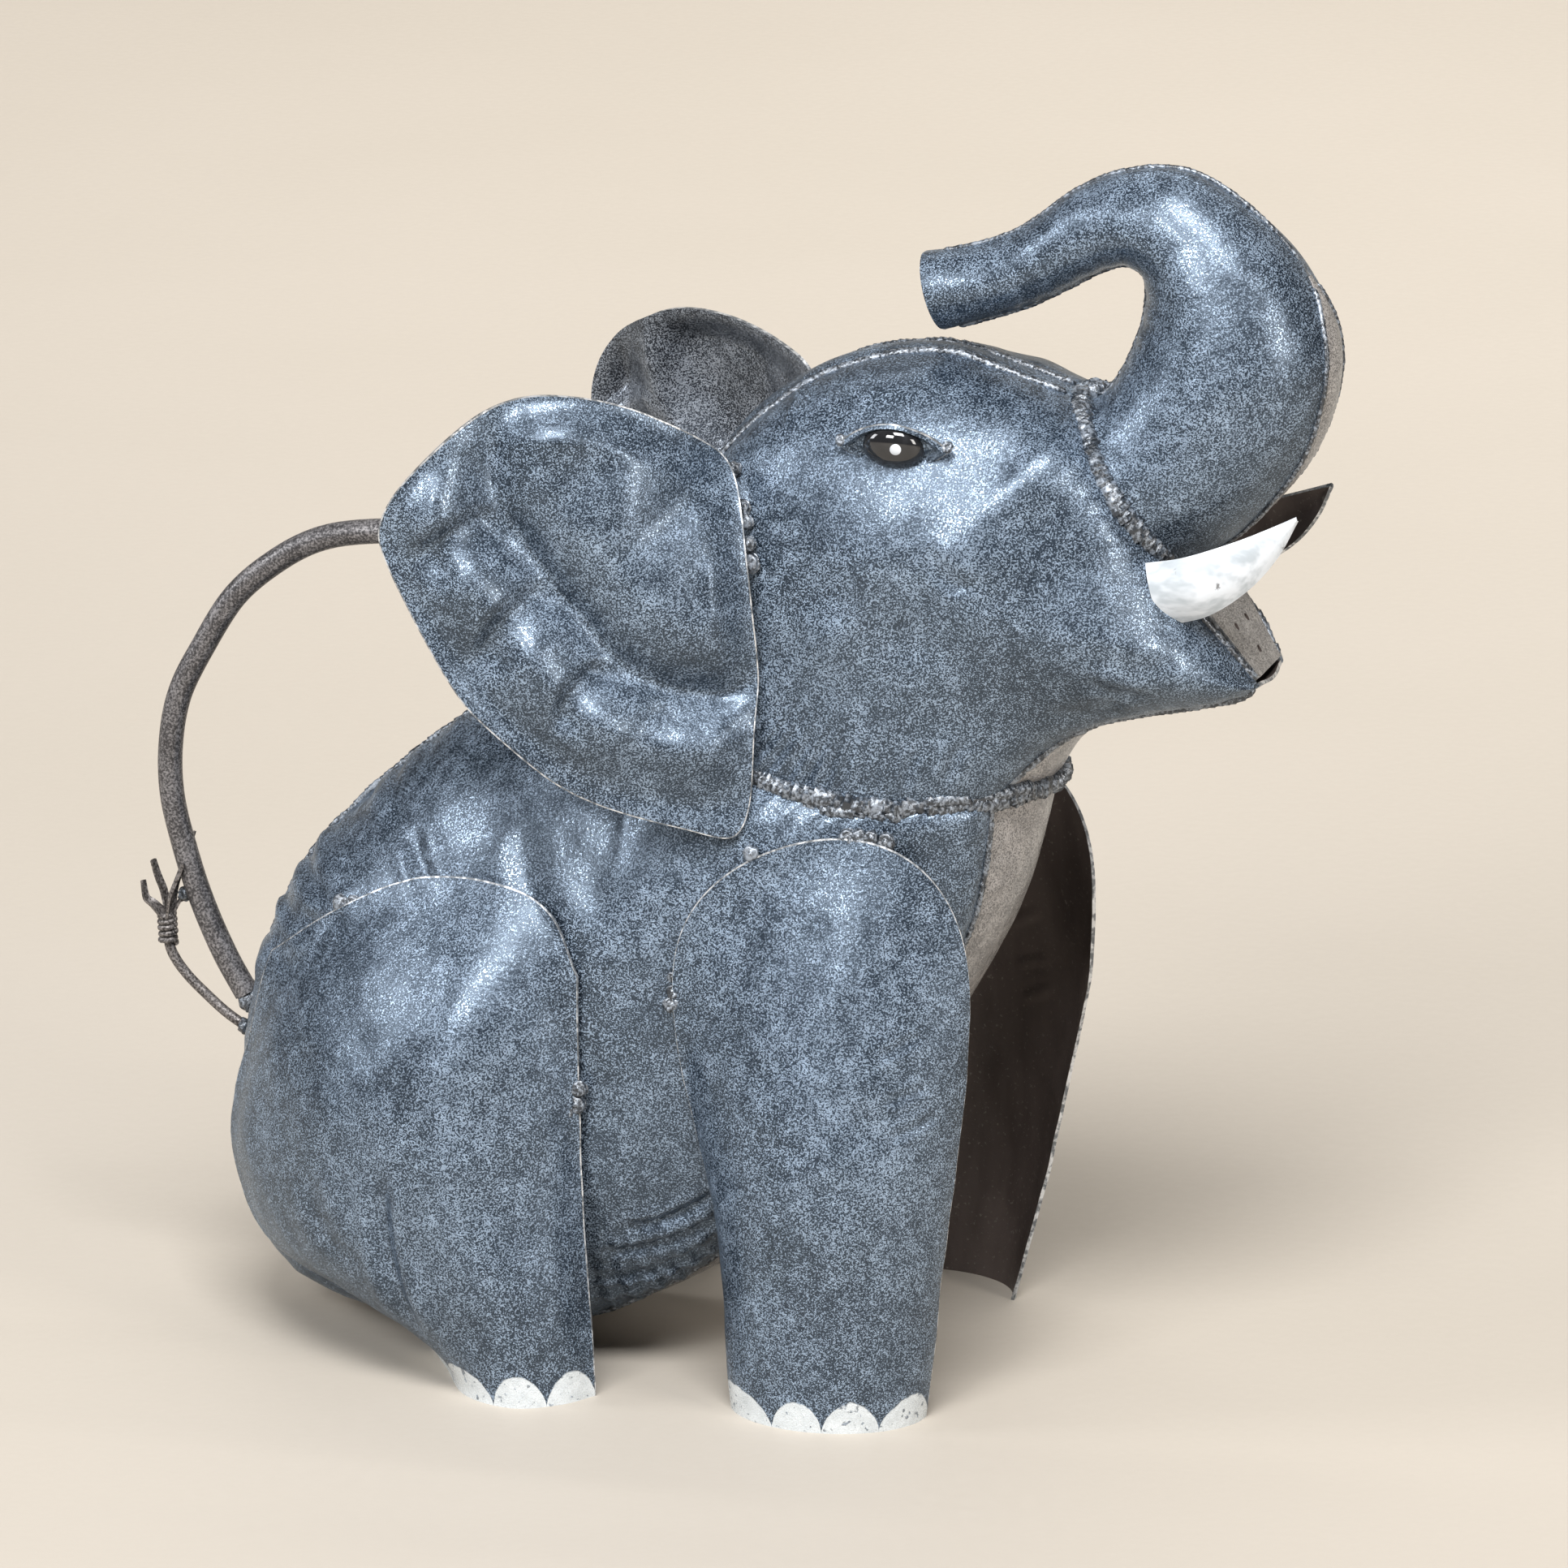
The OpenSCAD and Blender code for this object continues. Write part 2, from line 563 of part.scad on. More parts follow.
// lean: how far the top of the sheet is set forward of its foot
module front_leg(lean) {
    m = 14;
    n = 12;
    g = [for (i = [0 : m])
        let (t = i / m)
        let (q = curve(leg_rows, t))
        [for (j = [0 : n])
            let (s = -1 + 2 * j / n)
            let (c = cos(90 * s))
            let (edge = mix(q[2], q[4], 0.5 + 0.5 * sin(90 * s)))
            let (z = mix(leg_side * 0.93, leg_top, pow(c, 0.75)) + 3 * sin(180 * s))
            [mix(q[0], q[1], 0.5 + 0.5 * sin(90 * s)) + lean * (1.4 * sin(90 * t) - 0.4),
                mix(edge, q[3], c), t * z]]];
    sheet(g, floored(skin(g, -sheet_t)));
}
module left_front_leg() {
    steel() place() front_leg(left_leg_lean);
}
module right_front_leg() {
    steel() place() other_side() front_leg(0);
}

// plan knots of the hind sheet from its front edge round to the back, from the floor up
hind_rows = [
    [[-32.3, 60], [-39, 70], [-51, 76.5], [-66.5, 69.5], [-78.5, 49], [-90, 30]],
    [[-34.3, 59.5], [-43, 71.5], [-60, 79.5], [-89, 72], [-113, 55], [-131, 34]],
    [[-35.8, 58.7], [-47.5, 71], [-70, 79.5], [-103.5, 69.5], [-131, 49], [-148.5, 22]],
    [[-36.6, 58.3], [-49, 69.5], [-71.5, 77.5], [-102, 68.5], [-129, 48.5], [-148.5, 23]],
    [[-37, 58], [-48, 64.5], [-68, 69], [-97, 60.5], [-122, 45], [-142, 25]],
    [[-37.4, 57.2], [-46.5, 54.2], [-64, 50.3], [-88, 43.8], [-113, 34.8], [-136, 19]]];
hind_top = [117, 133.5, 139.5, 136.8, 124, 107];
module hind_leg() {
    m = 13;
    n = 20;
    g = [for (i = [0 : m])
        let (t = i / m)
        [for (j = [0 : n])
            let (s = j / n)
            let (p = curve([for (row = hind_rows) curve(row, s)], t))
            [p[0], p[1], t * curve(hind_top, s)]]];
    sheet(g, floored(skin(g, sheet_t)));
}
module left_hind_leg() {
    steel() place() hind_leg();
}
module right_hind_leg() {
    steel() place() other_side() hind_leg();
}

// ---------------------------------------------------------------- handle and tail

handle_path = [[-26, 0, 212], [-45, 0, 218], [-68, 0, 221.2], [-92, 0, 221.8], [-114, 0, 220.6],
    [-129, 0, 217.4], [-142, 0, 210.2], [-154, 0, 199.6], [-163.7, 0, 184.2], [-170.2, 0, 171],
    [-173, 0, 157], [-173, 0, 142], [-169.8, 0, 127], [-165, 0, 112], [-158.8, 0, 98],
    [-152.2, 0, 86.5]];
module handle_tube() {
    n = 36;
    steel() place()
        pipe([for (i = [0 : n]) curve(handle_path, i / n)], handle_d / 2, handle_wall, 12);
}
tail_path = [[-153, 0, 77], [-158.5, 0, 80.6], [-163.8, 0, 85], [-168.8, 0, 89.6],
    [-172.8, 0, 94.6], [-174.7, 0, 99.5], [-175.3, 0, 109]];
module tail_rod() {
    n = 14;
    color([0.25, 0.25, 0.26]) place()
        rod([for (i = [0 : n]) curve(tail_path, i / n)], tail_d / 2, 8);
}
module tail_binding() {
    r0 = tail_d / 2 + 0.1;
    z0 = 99.5;
    turns = 5;
    color([0.30, 0.28, 0.27]) place()
        for (k = [0 : turns - 1])
            translate([-174.75 - 0.1 * k, 0, z0 + 1.9 * k]) rotate([0, -3, 0])
                rotate_extrude($fn = 24)
                    translate([r0 + 0.75, 0]) scale([0.8, 1]) circle(r = 0.93, $fn = 12);
}
// bent strips of the tuft: knots and width
tuft = [
    [[[-175.7, 1.2, 108], [-177, 2.2, 113], [-178.6, 2, 117.5], [-179.8, 1, 122.4]], 3.0],
    [[[-175.4, -1.2, 108], [-178, -3, 110.6], [-180.6, -3.4, 112.6], [-181.4, -3, 117.5]], 3.2],
    [[[-175, 2.4, 108], [-174.4, 3.6, 113.5], [-172.4, 3.8, 119.5], [-169.8, 3, 125.6], [-167.8, 2.2, 131]],
        3.0],
    [[[-174.4, -2.2, 108], [-173.2, -3.4, 113], [-171, -3.6, 118.6], [-168.8, -4.2, 123.6]], 2.2],
    [[[-174, 0.4, 108], [-172, 0.8, 111], [-169.8, 0.4, 112.6]], 2.6]];
module tail_tuft() {
    n = 8;
    color([0.30, 0.28, 0.27]) place()
        for (f = tuft) {
            g = [for (i = [0 : n])
                let (p = curve(f[0], i / n))
                [for (k = [-1, 1]) p + [0.25 * k, k * f[1] / 2 * (1 - 0.3 * i / n), 0]]];
            sheet(g, skin(g, 0.7));
        }
}

// ---------------------------------------------------------------- welds

function ring_path(n, a0, a1) = [for (i = [0 : n]) trunk_ring(mix(a0, a1, i / n)) + 0.6 * e_ring];
function edge_path(p, n, out) = [for (i = [0 : n]) curve(p, i / n) + out];

module neck_weld() {
    n = 64;
    weld() place()
        bead([for (i = [0 : n - 1]) neck(360 * i / n) + [0, 0, 0.4 * sin(1700 * i / n)]], heavy_r, true);
}
module trunk_base_weld() {
    n = 34;
    weld() place()
        bead([for (i = [0 : n - 1]) trunk_ring(360 * i / n)], heavy_r, true);
}
module both_edges(p, n, r) {
    bead(edge_path(p, n, [0, 0, 0]), r);
    other_side() bead(edge_path(p, n, [0, 0, 0]), r);
}
module crown_welds() {
    weld() place() both_edges([for (i = [0 : 18]) curve(crown_edge, 0.03 + 0.94 * i / 18)], 40, bead_r);
}
module chest_welds() {
    weld() place() both_edges([for (i = [0 : 22]) curve(chest_edge, 0.015 + 0.93 * i / 22)], 52, bead_r);
}
module back_weld() {
    weld() place() {
        bead([for (i = [0 : 34]) i > 32 ? curve(nape_seam, 0.04 * (i - 32)) :
            curve(back_seam, 0.03 + 0.97 * i / 32)], bead_r);
        bead([for (i = [0 : 4]) curve(nape_seam, 0.68 + 0.25 * i / 4)], bead_r);
    }
}
module jaw_welds() {
    weld() place() {
        both_edges([for (i = [0 : 10]) curve(jaw_edge, 0.04 + 0.9 * i / 10)], 20, bead_r);
        both_edges([for (i = [0 : 6]) curve(mouth_edge, 0.1 + 0.86 * i / 6)], 10, 1.4);
    }
}
module trunk_seam_welds() {
    top = [for (i = [0 : 16])
        trunk_point(curve(trunk_rows, mix(5.1, 11.6, i / 16) / 12), 180)];
    inner = [for (i = [0 : 18])
        trunk_point(curve(trunk_rows, mix(0.6, 11.6, i / 18) / 12), 0)];
    side = [for (i = [0 : 12])
        let (q = curve(trunk_rows, mix(0.3, 4.7, i / 12) / 12))
        trunk_point(q, 180 - asin(q[5] / q[4]))];
    weld() place() {
        bead(top, 1.1);
        bead(inner, 1.1);
        bead(side, 1.1);
        other_side() bead(side, 1.1);
    }
}
module tack(p, r = tack_r) {
    translate(p) sphere(r = r, $fn = 16);
}
module pair_of(list, r = tack_r) {
    for (p = list) {
        tack(p, r);
        other_side() tack(p, r);
    }
}
module ear_tacks() {
    weld() place() pair_of([[-1, 32.5, 253], [4, 41, 243], [6.6, 43.5, 233]]);
}
module front_leg_tacks() {
    at = [[10, 55, 154.2], [38, 52.3, 160.2], [44, 51.5, 159.7], [-11.3, 57.3, 113]];
    weld() place() {
        for (p = at) tack([p[0], -p[1], p[2]], 2.8);
        for (p = at) tack([p[0] + left_leg_lean * 0.96, p[1], p[2]], 2.8);
    }
}
module hind_leg_tacks() {
    weld() place() pair_of([[-111, 36.8, 125.5], [-38, 58.6, 82]], 3.6);
}
module eye_tacks() {
    weld() place() pair_of([[30.6, 40.2, 264.6], [59.6, 40.2, 264.6]], 2);
}
module tusk_tacks() {
    weld() place() pair_of([[110.6, 28.4, 229], [114, 28, 221.5]], 2.2);
}
module handle_welds() {
    weld() place() {
        tack([-24.5, 0, 211.6], 4.6);
        tack([-151, 0, 84], 4.2);
        tack([-152.8, 0, 76.8], 2.4);
        tack([-169.6, 0, 113.6], 2.2);
    }
}

body_right_panel();
body_left_panel();
chest_belly_strip();
head_right_panel();
head_left_panel();
crown_strip();
jaw_strip();
rose_plate();
trunk_right_half();
trunk_left_half();
trunk_front_strip();
right_ear();
left_ear();
right_eye_plate();
left_eye_plate();
right_eye_dome();
left_eye_dome();
right_tusk();
left_tusk();
right_front_leg();
left_front_leg();
right_hind_leg();
left_hind_leg();
handle_tube();
tail_rod();
tail_binding();
tail_tuft();
neck_weld();
trunk_base_weld();
crown_welds();
chest_welds();
back_weld();
jaw_welds();
trunk_seam_welds();
ear_tacks();
front_leg_tacks();
hind_leg_tacks();
eye_tacks();
tusk_tacks();
handle_welds();
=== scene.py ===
import math
import bpy
import numpy as np
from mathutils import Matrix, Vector


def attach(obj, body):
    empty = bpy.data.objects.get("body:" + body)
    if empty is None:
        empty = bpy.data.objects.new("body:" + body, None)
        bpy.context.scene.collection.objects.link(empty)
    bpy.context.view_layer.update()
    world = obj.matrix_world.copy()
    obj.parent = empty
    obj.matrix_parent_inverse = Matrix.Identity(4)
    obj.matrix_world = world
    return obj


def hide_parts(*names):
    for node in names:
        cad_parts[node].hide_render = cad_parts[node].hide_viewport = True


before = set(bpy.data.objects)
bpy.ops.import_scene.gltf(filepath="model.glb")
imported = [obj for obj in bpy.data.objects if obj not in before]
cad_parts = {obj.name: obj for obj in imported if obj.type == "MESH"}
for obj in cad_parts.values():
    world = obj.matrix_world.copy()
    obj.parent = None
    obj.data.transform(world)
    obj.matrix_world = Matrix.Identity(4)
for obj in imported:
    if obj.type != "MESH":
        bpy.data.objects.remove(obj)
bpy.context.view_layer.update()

# The shapes below are worked in millimetres in the CAD model's own terms and moved by SHIFT.
MM = 0.001
SHIFT = 12.8
SHEET = 1.0
SHARP = 38
TIP = 0.5

# Cut edges of the leg and ear sheets carry a bare burr this wide.
BURR, EAR_BURR = 0.5, 0.4

# ------------------------------------------------------------------ numbers and curves


def mix(a, b, t):
    return a + (b - a) * t


def smooth(t):
    t = np.clip(t, 0, 1)
    return t * t * (3 - 2 * t)


def unit(v):
    return v / np.maximum(np.linalg.norm(v, axis=-1, keepdims=True), 1e-9)


def gauss(x, width):
    return np.exp(-((x / width) ** 2))


def ripple(s, pitch, phase=0):
    return np.sin(2 * np.pi * s / pitch + phase)


def catmull(a, b, c, d, f):
    bend = (2 * a - 5 * b + 4 * c - d) * f**2
    return 0.5 * (2 * b + (c - a) * f + bend + (3 * b - a - 3 * c + d) * f**3)


def curve(p, t):
    """Catmull-Rom through the knots, t from 0 to 1."""
    p = np.asarray(p, float)
    t = np.asarray(t, float)
    n = len(p) - 1
    s = np.clip(t * n, 0, n - 1e-6)
    i = np.floor(s).astype(int)
    f = (s - i).reshape(s.shape + (1,) * (p.ndim - 1))
    q = np.concatenate([[2 * p[0] - p[1]], p, [2 * p[-1] - p[-2]]])
    a, b, c, d = q[i], q[i + 1], q[i + 2], q[i + 3]
    return catmull(a, b, c, d, f)


def loop_curve(p, t):
    """The same through a closed ring of knots."""
    p = np.asarray(p, float)
    n = len(p)
    s = np.asarray(t, float) * n
    i = np.floor(s).astype(int)
    f = (s - i)[..., None]
    a, b, c, d = p[(i - 1) % n], p[i % n], p[(i + 1) % n], p[(i + 2) % n]
    return catmull(a, b, c, d, f)


def arc(p, closed=False):
    """Running length along a polyline."""
    q = np.concatenate([p, p[:1]]) if closed else p
    return np.concatenate([[0], np.cumsum(np.linalg.norm(np.diff(q, axis=0), axis=1))])


def respace(p, n):
    """The same polyline with n evenly spaced points."""
    s = arc(p)
    t = np.linspace(0, s[-1], n)
    return np.stack([np.interp(t, s, p[:, k]) for k in range(3)], axis=1)


def _hash(i, j, k, seed):
    h = (i * 374761393 + j * 668265263 + k * 1440662683 + seed * 1274126177) & 0xFFFFFFFF
    h = ((h ^ (h >> 13)) * 1274126177) & 0xFFFFFFFF
    return ((h ^ (h >> 16)) & 0xFFFF) / 65535.0


def noise(p, size, seed=0):
    """Smooth value noise from -1 to 1."""
    q = np.asarray(p, float) / size
    f = np.floor(q)
    i = f.astype(np.int64)
    t = q - f
    t = t * t * t * (t * (t * 6 - 15) + 10)
    out = 0
    for dx in (0, 1):
        wx = t[..., 0] if dx else 1 - t[..., 0]
        for dy in (0, 1):
            wy = t[..., 1] if dy else 1 - t[..., 1]
            for dz in (0, 1):
                wz = t[..., 2] if dz else 1 - t[..., 2]
                corner = _hash(i[..., 0] + dx, i[..., 1] + dy, i[..., 2] + dz, seed)
                out = out + wx * wy * wz * corner
    return out * 2 - 1


def line_noise(s, size, seed=0):
    z = np.zeros_like(s)
    return noise(np.stack([s, z + 0.37 * size, z + 0.61 * size], axis=-1), size, seed)


def dist_to(path, q):
    """For points q: distance to a 2-D polyline, its side, and how far along the nearest point is."""
    best = np.full(q.shape[:-1], 1e9)
    side = np.zeros(q.shape[:-1])
    along = np.zeros(q.shape[:-1])
    s = 0.0
    for a, b in zip(path[:-1], path[1:]):
        d = b - a
        ln = np.linalg.norm(d)
        t = np.clip(((q - a) @ d) / ln**2, 0, 1)
        v = q - (a + t[..., None] * d)
        r = np.linalg.norm(v, axis=-1)
        near = r < best
        best = np.where(near, r, best)
        side = np.where(near, np.sign(d[0] * (q - a)[..., 1] - d[1] * (q - a)[..., 0]), side)
        along = np.where(near, s + t * ln, along)
        s += ln
    return best, side, along / s


# ------------------------------------------------------------------ meshes


def make_mesh(name, verts, faces, mats, index=None, uv=None, sharp=SHARP, mirror=False):
    """verts in mm; faces a list of (k, 3 or 4) arrays; index one material number per face."""
    v = np.array(verts, float)
    if mirror:
        v[:, 1] *= -1
        faces = [f[:, ::-1] for f in faces]
    v[:, 0] += SHIFT
    v = v * MM
    me = bpy.data.meshes.new(name)
    me.vertices.add(len(v))
    me.vertices.foreach_set("co", v.astype(np.float32).ravel())
    loops = np.concatenate([f.ravel() for f in faces]).astype(np.int32)
    sizes = np.concatenate([np.full(len(f), f.shape[1]) for f in faces]).astype(np.int32)
    starts = np.concatenate([[0], np.cumsum(sizes)[:-1]]).astype(np.int32)
    me.loops.add(len(loops))
    me.loops.foreach_set("vertex_index", loops)
    me.polygons.add(len(sizes))
    me.polygons.foreach_set("loop_start", starts)
    me.polygons.foreach_set("use_smooth", np.ones(len(sizes), bool))
    for m in mats:
        me.materials.append(m)
    if index is not None:
        me.polygons.foreach_set("material_index", np.asarray(index, np.int32))
    if uv is not None:
        layer = me.uv_layers.new(name="UVMap")
        layer.data.foreach_set("uv", np.asarray(uv, np.float32)[loops].ravel())
    me.update(calc_edges=True)
    me.validate()
    if sharp:
        me.set_sharp_from_angle(angle=math.radians(sharp))
    ob = bpy.data.objects.new(name, me)
    bpy.context.scene.collection.objects.link(ob)
    return ob


def hand_in(ob, slot, *nodes):
    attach(ob, "root")
    if nodes:
        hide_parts(*nodes)
    return ob


def grid_normals(g, wrap=False):
    a = np.empty_like(g)
    a[1:-1] = g[2:] - g[:-2]
    a[0] = g[1] - g[0]
    a[-1] = g[-1] - g[-2]
    if wrap:
        b = np.roll(g, -1, axis=1) - np.roll(g, 1, axis=1)
    else:
        b = np.empty_like(g)
        b[:, 1:-1] = g[:, 2:] - g[:, :-2]
        b[:, 0] = g[:, 1] - g[:, 0]
        b[:, -1] = g[:, -1] - g[:, -2]
    return unit(np.cross(a, b))


def quads(m, n, offset, wrap, flip):
    i, j = np.meshgrid(np.arange(m - 1), np.arange(n if wrap else n - 1), indexing="ij")
    a = i * n + j
    b = i * n + (j + 1) % n
    f = np.stack([a, a + n, b + n, b], axis=-1).reshape(-1, 4) + offset
    return f[:, ::-1] if flip else f


def sheet(name, g, mats, th=SHEET, wrap=False, uv=None, mirror=False, keep_inner=None, lip=0):
    """Closed sheet: g is the outer skin, with the inner skin th behind it. mats is (outer, inner,
    edge); keep_inner may correct the inner skin; lip is the width of the bare burr beside the cut."""
    m, n = g.shape[:2]
    if lip:
        g = g.copy()
        pairs = [((m - 1, slice(None)), (m - 2, slice(None)))]
        if not wrap:
            pairs.append(((slice(None), 0), (slice(None), 1)))
            pairs.append(((slice(None), n - 1), (slice(None), n - 2)))
        for at, near in pairs:
            step = g[near] - g[at]
            k = lip / np.maximum(np.linalg.norm(step, axis=-1, keepdims=True), lip)
            g[near] = g[at] + step * k
            if uv is not None:
                uv[near] = uv[at] + (uv[near] - uv[at]) * k
    h = g - th * grid_normals(g, wrap)
    if keep_inner is not None:
        h = keep_inner(g, h)
    o = m * n
    verts = np.concatenate([g.reshape(-1, 3), h.reshape(-1, 3)])
    faces, index = [], []

    def add(f, k):
        faces.append(f)
        index.append(np.full(len(f), k))

    face = quads(m, n, 0, wrap, False)
    add(face, 0)
    if lip:
        column = face % n
        bare = face.max(axis=1) // n == m - 1
        if not wrap:
            bare |= (column.min(axis=1) == 0) | (column.max(axis=1) == n - 1)
        index[0] = np.where(bare, 2, 0)
    add(quads(m, n, o, wrap, True), 1)

    def rim(a, b, flip):
        f = np.stack([a, b, b + o, a + o], axis=-1)
        add(f[:, ::-1] if flip else f, 2)

    j = np.arange(n if wrap else n - 1)
    if not wrap:
        i = np.arange(m - 1)
        rim(i * n, (i + 1) * n, True)
        rim(i * n + n - 1, (i + 1) * n + n - 1, False)
    # a wrapped sheet whose first ring is tiny ends in a point and needs no hole there
    tip = wrap and np.linalg.norm(g[0] - g[0].mean(0), axis=1).max() <= TIP
    if not tip:
        rim(j, (j + 1) % n, False)
    rim((m - 1) * n + j, (m - 1) * n + (j + 1) % n, True)
    if tip:
        add(np.arange(n)[None], 0)
        add((o + np.arange(n))[None, ::-1], 1)
    uvs = None if uv is None else np.concatenate([uv.reshape(-1, 2)] * 2)
    return make_mesh(name, verts, faces, list(mats), np.concatenate(index), uvs, SHARP, mirror)


def tube_points(path, radius, sides):
    """Rings of points round a path; radius is (rings, sides) or broadcastable."""
    m = len(path)
    t = np.empty_like(path)
    t[1:-1] = path[2:] - path[:-2]
    t[0] = path[1] - path[0]
    t[-1] = path[-1] - path[-2]
    t = unit(t)
    ref = np.where(np.abs(t[:, 1:2]) < 0.9, [[0, 1, 0]], [[1, 0, 0]])
    u = unit(np.cross(t, ref))
    v = np.cross(t, u)
    ang = 2 * np.pi * np.arange(sides) / sides
    r = np.broadcast_to(radius, (m, sides))[..., None]
    across, up = np.cos(ang)[None, :, None] * u[:, None], np.sin(ang)[None, :, None] * v[:, None]
    return path[:, None] + r * (across + up)


def tube_faces(m, n, offset, closed):
    i, j = np.meshgrid(np.arange(m if closed else m - 1), np.arange(n), indexing="ij")
    a = i * n + j
    b = i * n + (j + 1) % n
    c = ((i + 1) % m) * n + j
    d = ((i + 1) % m) * n + (j + 1) % n
    return np.stack([a, b, d, c], axis=-1).reshape(-1, 4) + offset


class Parts:
    """Collects several solids into one piece."""

    def __init__(self):
        self.v, self.f, self.i, self.n = [], [], [], 0

    def add(self, verts, faces, index=0):
        self.v.append(verts.reshape(-1, 3))
        for f in faces:
            self.f.append(f + self.n)
            self.i.append(np.full(len(f), index))
        self.n += len(verts.reshape(-1, 3))

    def tube(self, path, radius, sides, closed=False, index=0):
        pts = tube_points(path, radius, sides)
        m = len(path)
        faces = [tube_faces(m, sides, 0, closed)]
        if not closed:
            faces.append(np.arange(sides)[None, ::-1])
            faces.append(((m - 1) * sides + np.arange(sides))[None])
        self.add(pts, faces, index)

    def build(self, name, mats, sharp=50):
        verts, index = np.concatenate(self.v), np.concatenate(self.i)
        return make_mesh(name, verts, self.f, mats, index, None, sharp)


# ------------------------------------------------------------------ materials


class Nodes:
    """Builds one material on a Principled shader, or adds to a copy of one."""

    def __init__(self, name, copy_of=None):
        if copy_of is not None:
            self.mat = copy_of.copy()
            self.mat.name = name
            self.t = self.mat.node_tree
            self.b = next(n for n in self.t.nodes if n.type == "BSDF_PRINCIPLED")
        else:
            self.mat = bpy.data.materials.new(name)
            self.mat.use_nodes = True
            self.t = self.mat.node_tree
            self.t.nodes.clear()
            out = self.t.nodes.new("ShaderNodeOutputMaterial")
            self.b = self.t.nodes.new("ShaderNodeBsdfPrincipled")
            self.link(self.b.outputs["BSDF"], out.inputs["Surface"])
        self.co = self.t.nodes.new("ShaderNodeTexCoord").outputs["Object"]

    def link(self, a, b):
        self.t.links.new(a, b)

    def put(self, socket, value):
        """Links a socket, or sets it to a number or a colour."""
        if isinstance(value, bpy.types.NodeSocket):
            self.link(value, socket)
        elif isinstance(value, (tuple, list)):
            socket.default_value = (*value, 1)
        else:
            socket.default_value = value

    def noise(self, scale, detail=2.0, rough=0.5, co=None):
        n = self.t.nodes.new("ShaderNodeTexNoise")
        self.link(co or self.co, n.inputs["Vector"])
        n.inputs["Scale"].default_value = scale
        n.inputs["Detail"].default_value = detail
        n.inputs["Roughness"].default_value = rough
        return n.outputs["Fac"]

    def stretch(self, x, y, z):
        n = self.t.nodes.new("ShaderNodeMapping")
        self.link(self.co, n.inputs["Vector"])
        n.inputs["Scale"].default_value = (x, y, z)
        return n.outputs["Vector"]

    def math(self, op, a, b=0.5):
        n = self.t.nodes.new("ShaderNodeMath")
        n.operation = op
        self.put(n.inputs[0], a)
        self.put(n.inputs[1], b)
        return n.outputs[0]

    def shifted(self, base, fac, amount):
        """base moved up and down by a noise."""
        return self.math("ADD", base, self.math("MULTIPLY", self.math("SUBTRACT", fac, 0.5), amount))

    def ramp(self, fac, lo, hi, a=0.0, b=1.0):
        n = self.t.nodes.new("ShaderNodeMapRange")
        n.interpolation_type = "SMOOTHSTEP"
        self.put(n.inputs["Value"], fac)
        self.put(n.inputs["From Min"], lo)
        self.put(n.inputs["From Max"], hi)
        self.put(n.inputs["To Min"], a)
        self.put(n.inputs["To Max"], b)
        return n.outputs["Result"]

    def mixc(self, fac, a, b):
        n = self.t.nodes.new("ShaderNodeMix")
        n.data_type = "RGBA"
        self.put(n.inputs["Factor"], fac)
        self.put(n.inputs["A"], a)
        self.put(n.inputs["B"], b)
        return n.outputs["Result"]

    def bump(self, height, strength, distance, normal=None):
        n = self.t.nodes.new("ShaderNodeBump")
        n.inputs["Strength"].default_value = strength
        n.inputs["Distance"].default_value = distance
        self.link(height, n.inputs["Height"])
        if normal is not None:
            self.link(normal, n.inputs["Normal"])
        return n.outputs["Normal"]

    def finish(self, color, rough, metallic=0.0, normal=None, **more):
        self.put(self.b.inputs["Base Color"], color)
        self.put(self.b.inputs["Roughness"], rough)
        self.b.inputs["Metallic"].default_value = metallic
        if normal is not None:
            self.link(normal, self.b.inputs["Normal"])
        for k, v in more.items():
            self.b.inputs[k].default_value = v
        return self.mat


METAL = 0.32
GLOSS_TINT = (0.70, 0.84, 1.0, 1)


def paint(name, dark, light, cover, metallic=METAL, ior=2.1):
    """Dark lacquer brushed over with a fine silver speckle, pebbled like leather."""
    n = Nodes(name)
    speck = n.noise(2200, 3.0, 0.65)
    patch = n.noise(190, 3.0, 0.6)
    wide = n.noise(26, 2.0, 0.5)
    level = n.shifted(n.shifted(speck, patch, 0.15), wide, 0.10)
    start = 0.56 - 0.12 * cover
    mask = n.ramp(level, start - 0.03, start + 0.045)
    tint = n.mixc(n.ramp(wide, 0.35, 0.65), dark, [c * 1.25 for c in dark])
    pale = n.mixc(n.ramp(patch, 0.35, 0.7), [c * 0.8 for c in light], light)
    col = n.mixc(mask, tint, pale)
    pebble = n.noise(820, 2.0, 0.55)
    tiny = n.math("ADD", n.math("MULTIPLY", pebble, 0.7), n.math("MULTIPLY", mask, 0.3))
    nrm = n.bump(n.noise(95, 2.0, 0.5), 0.35, 0.0006)
    nrm = n.bump(tiny, 0.55, 0.00028, nrm)
    rough = n.math("ADD", n.math("MULTIPLY", mask, -0.1), n.ramp(patch, 0.3, 0.7, 0.31, 0.38))
    more = {"IOR": ior, "Specular Tint": GLOSS_TINT}
    return n.finish(col, rough, metallic, nrm, **more)


PAINT = paint("graphite_speckle", (0.004, 0.009, 0.018), (0.26, 0.33, 0.42), 0.25)
BACK = paint("graphite_speckle_back", (0.018, 0.019, 0.023), (0.26, 0.28, 0.31), 0.45, 0.35, 1.6)
# Lighter, warmer copy of the paint for the chest, jaw and trunk strips: painted light, standing in for
# the light and the warm wall's reflection that fall on surfaces facing right.
STRIP_PAINTED_LIGHT = paint("graphite_speckle_strip_painted_light", (0.095, 0.086, 0.080), (0.43, 0.405, 0.385), 0.8, 0.2, 1.6)
ROSE = paint("graphite_speckle_rose", (0.075, 0.067, 0.062), (0.34, 0.32, 0.30), 0.8, 0.2, 1.6)


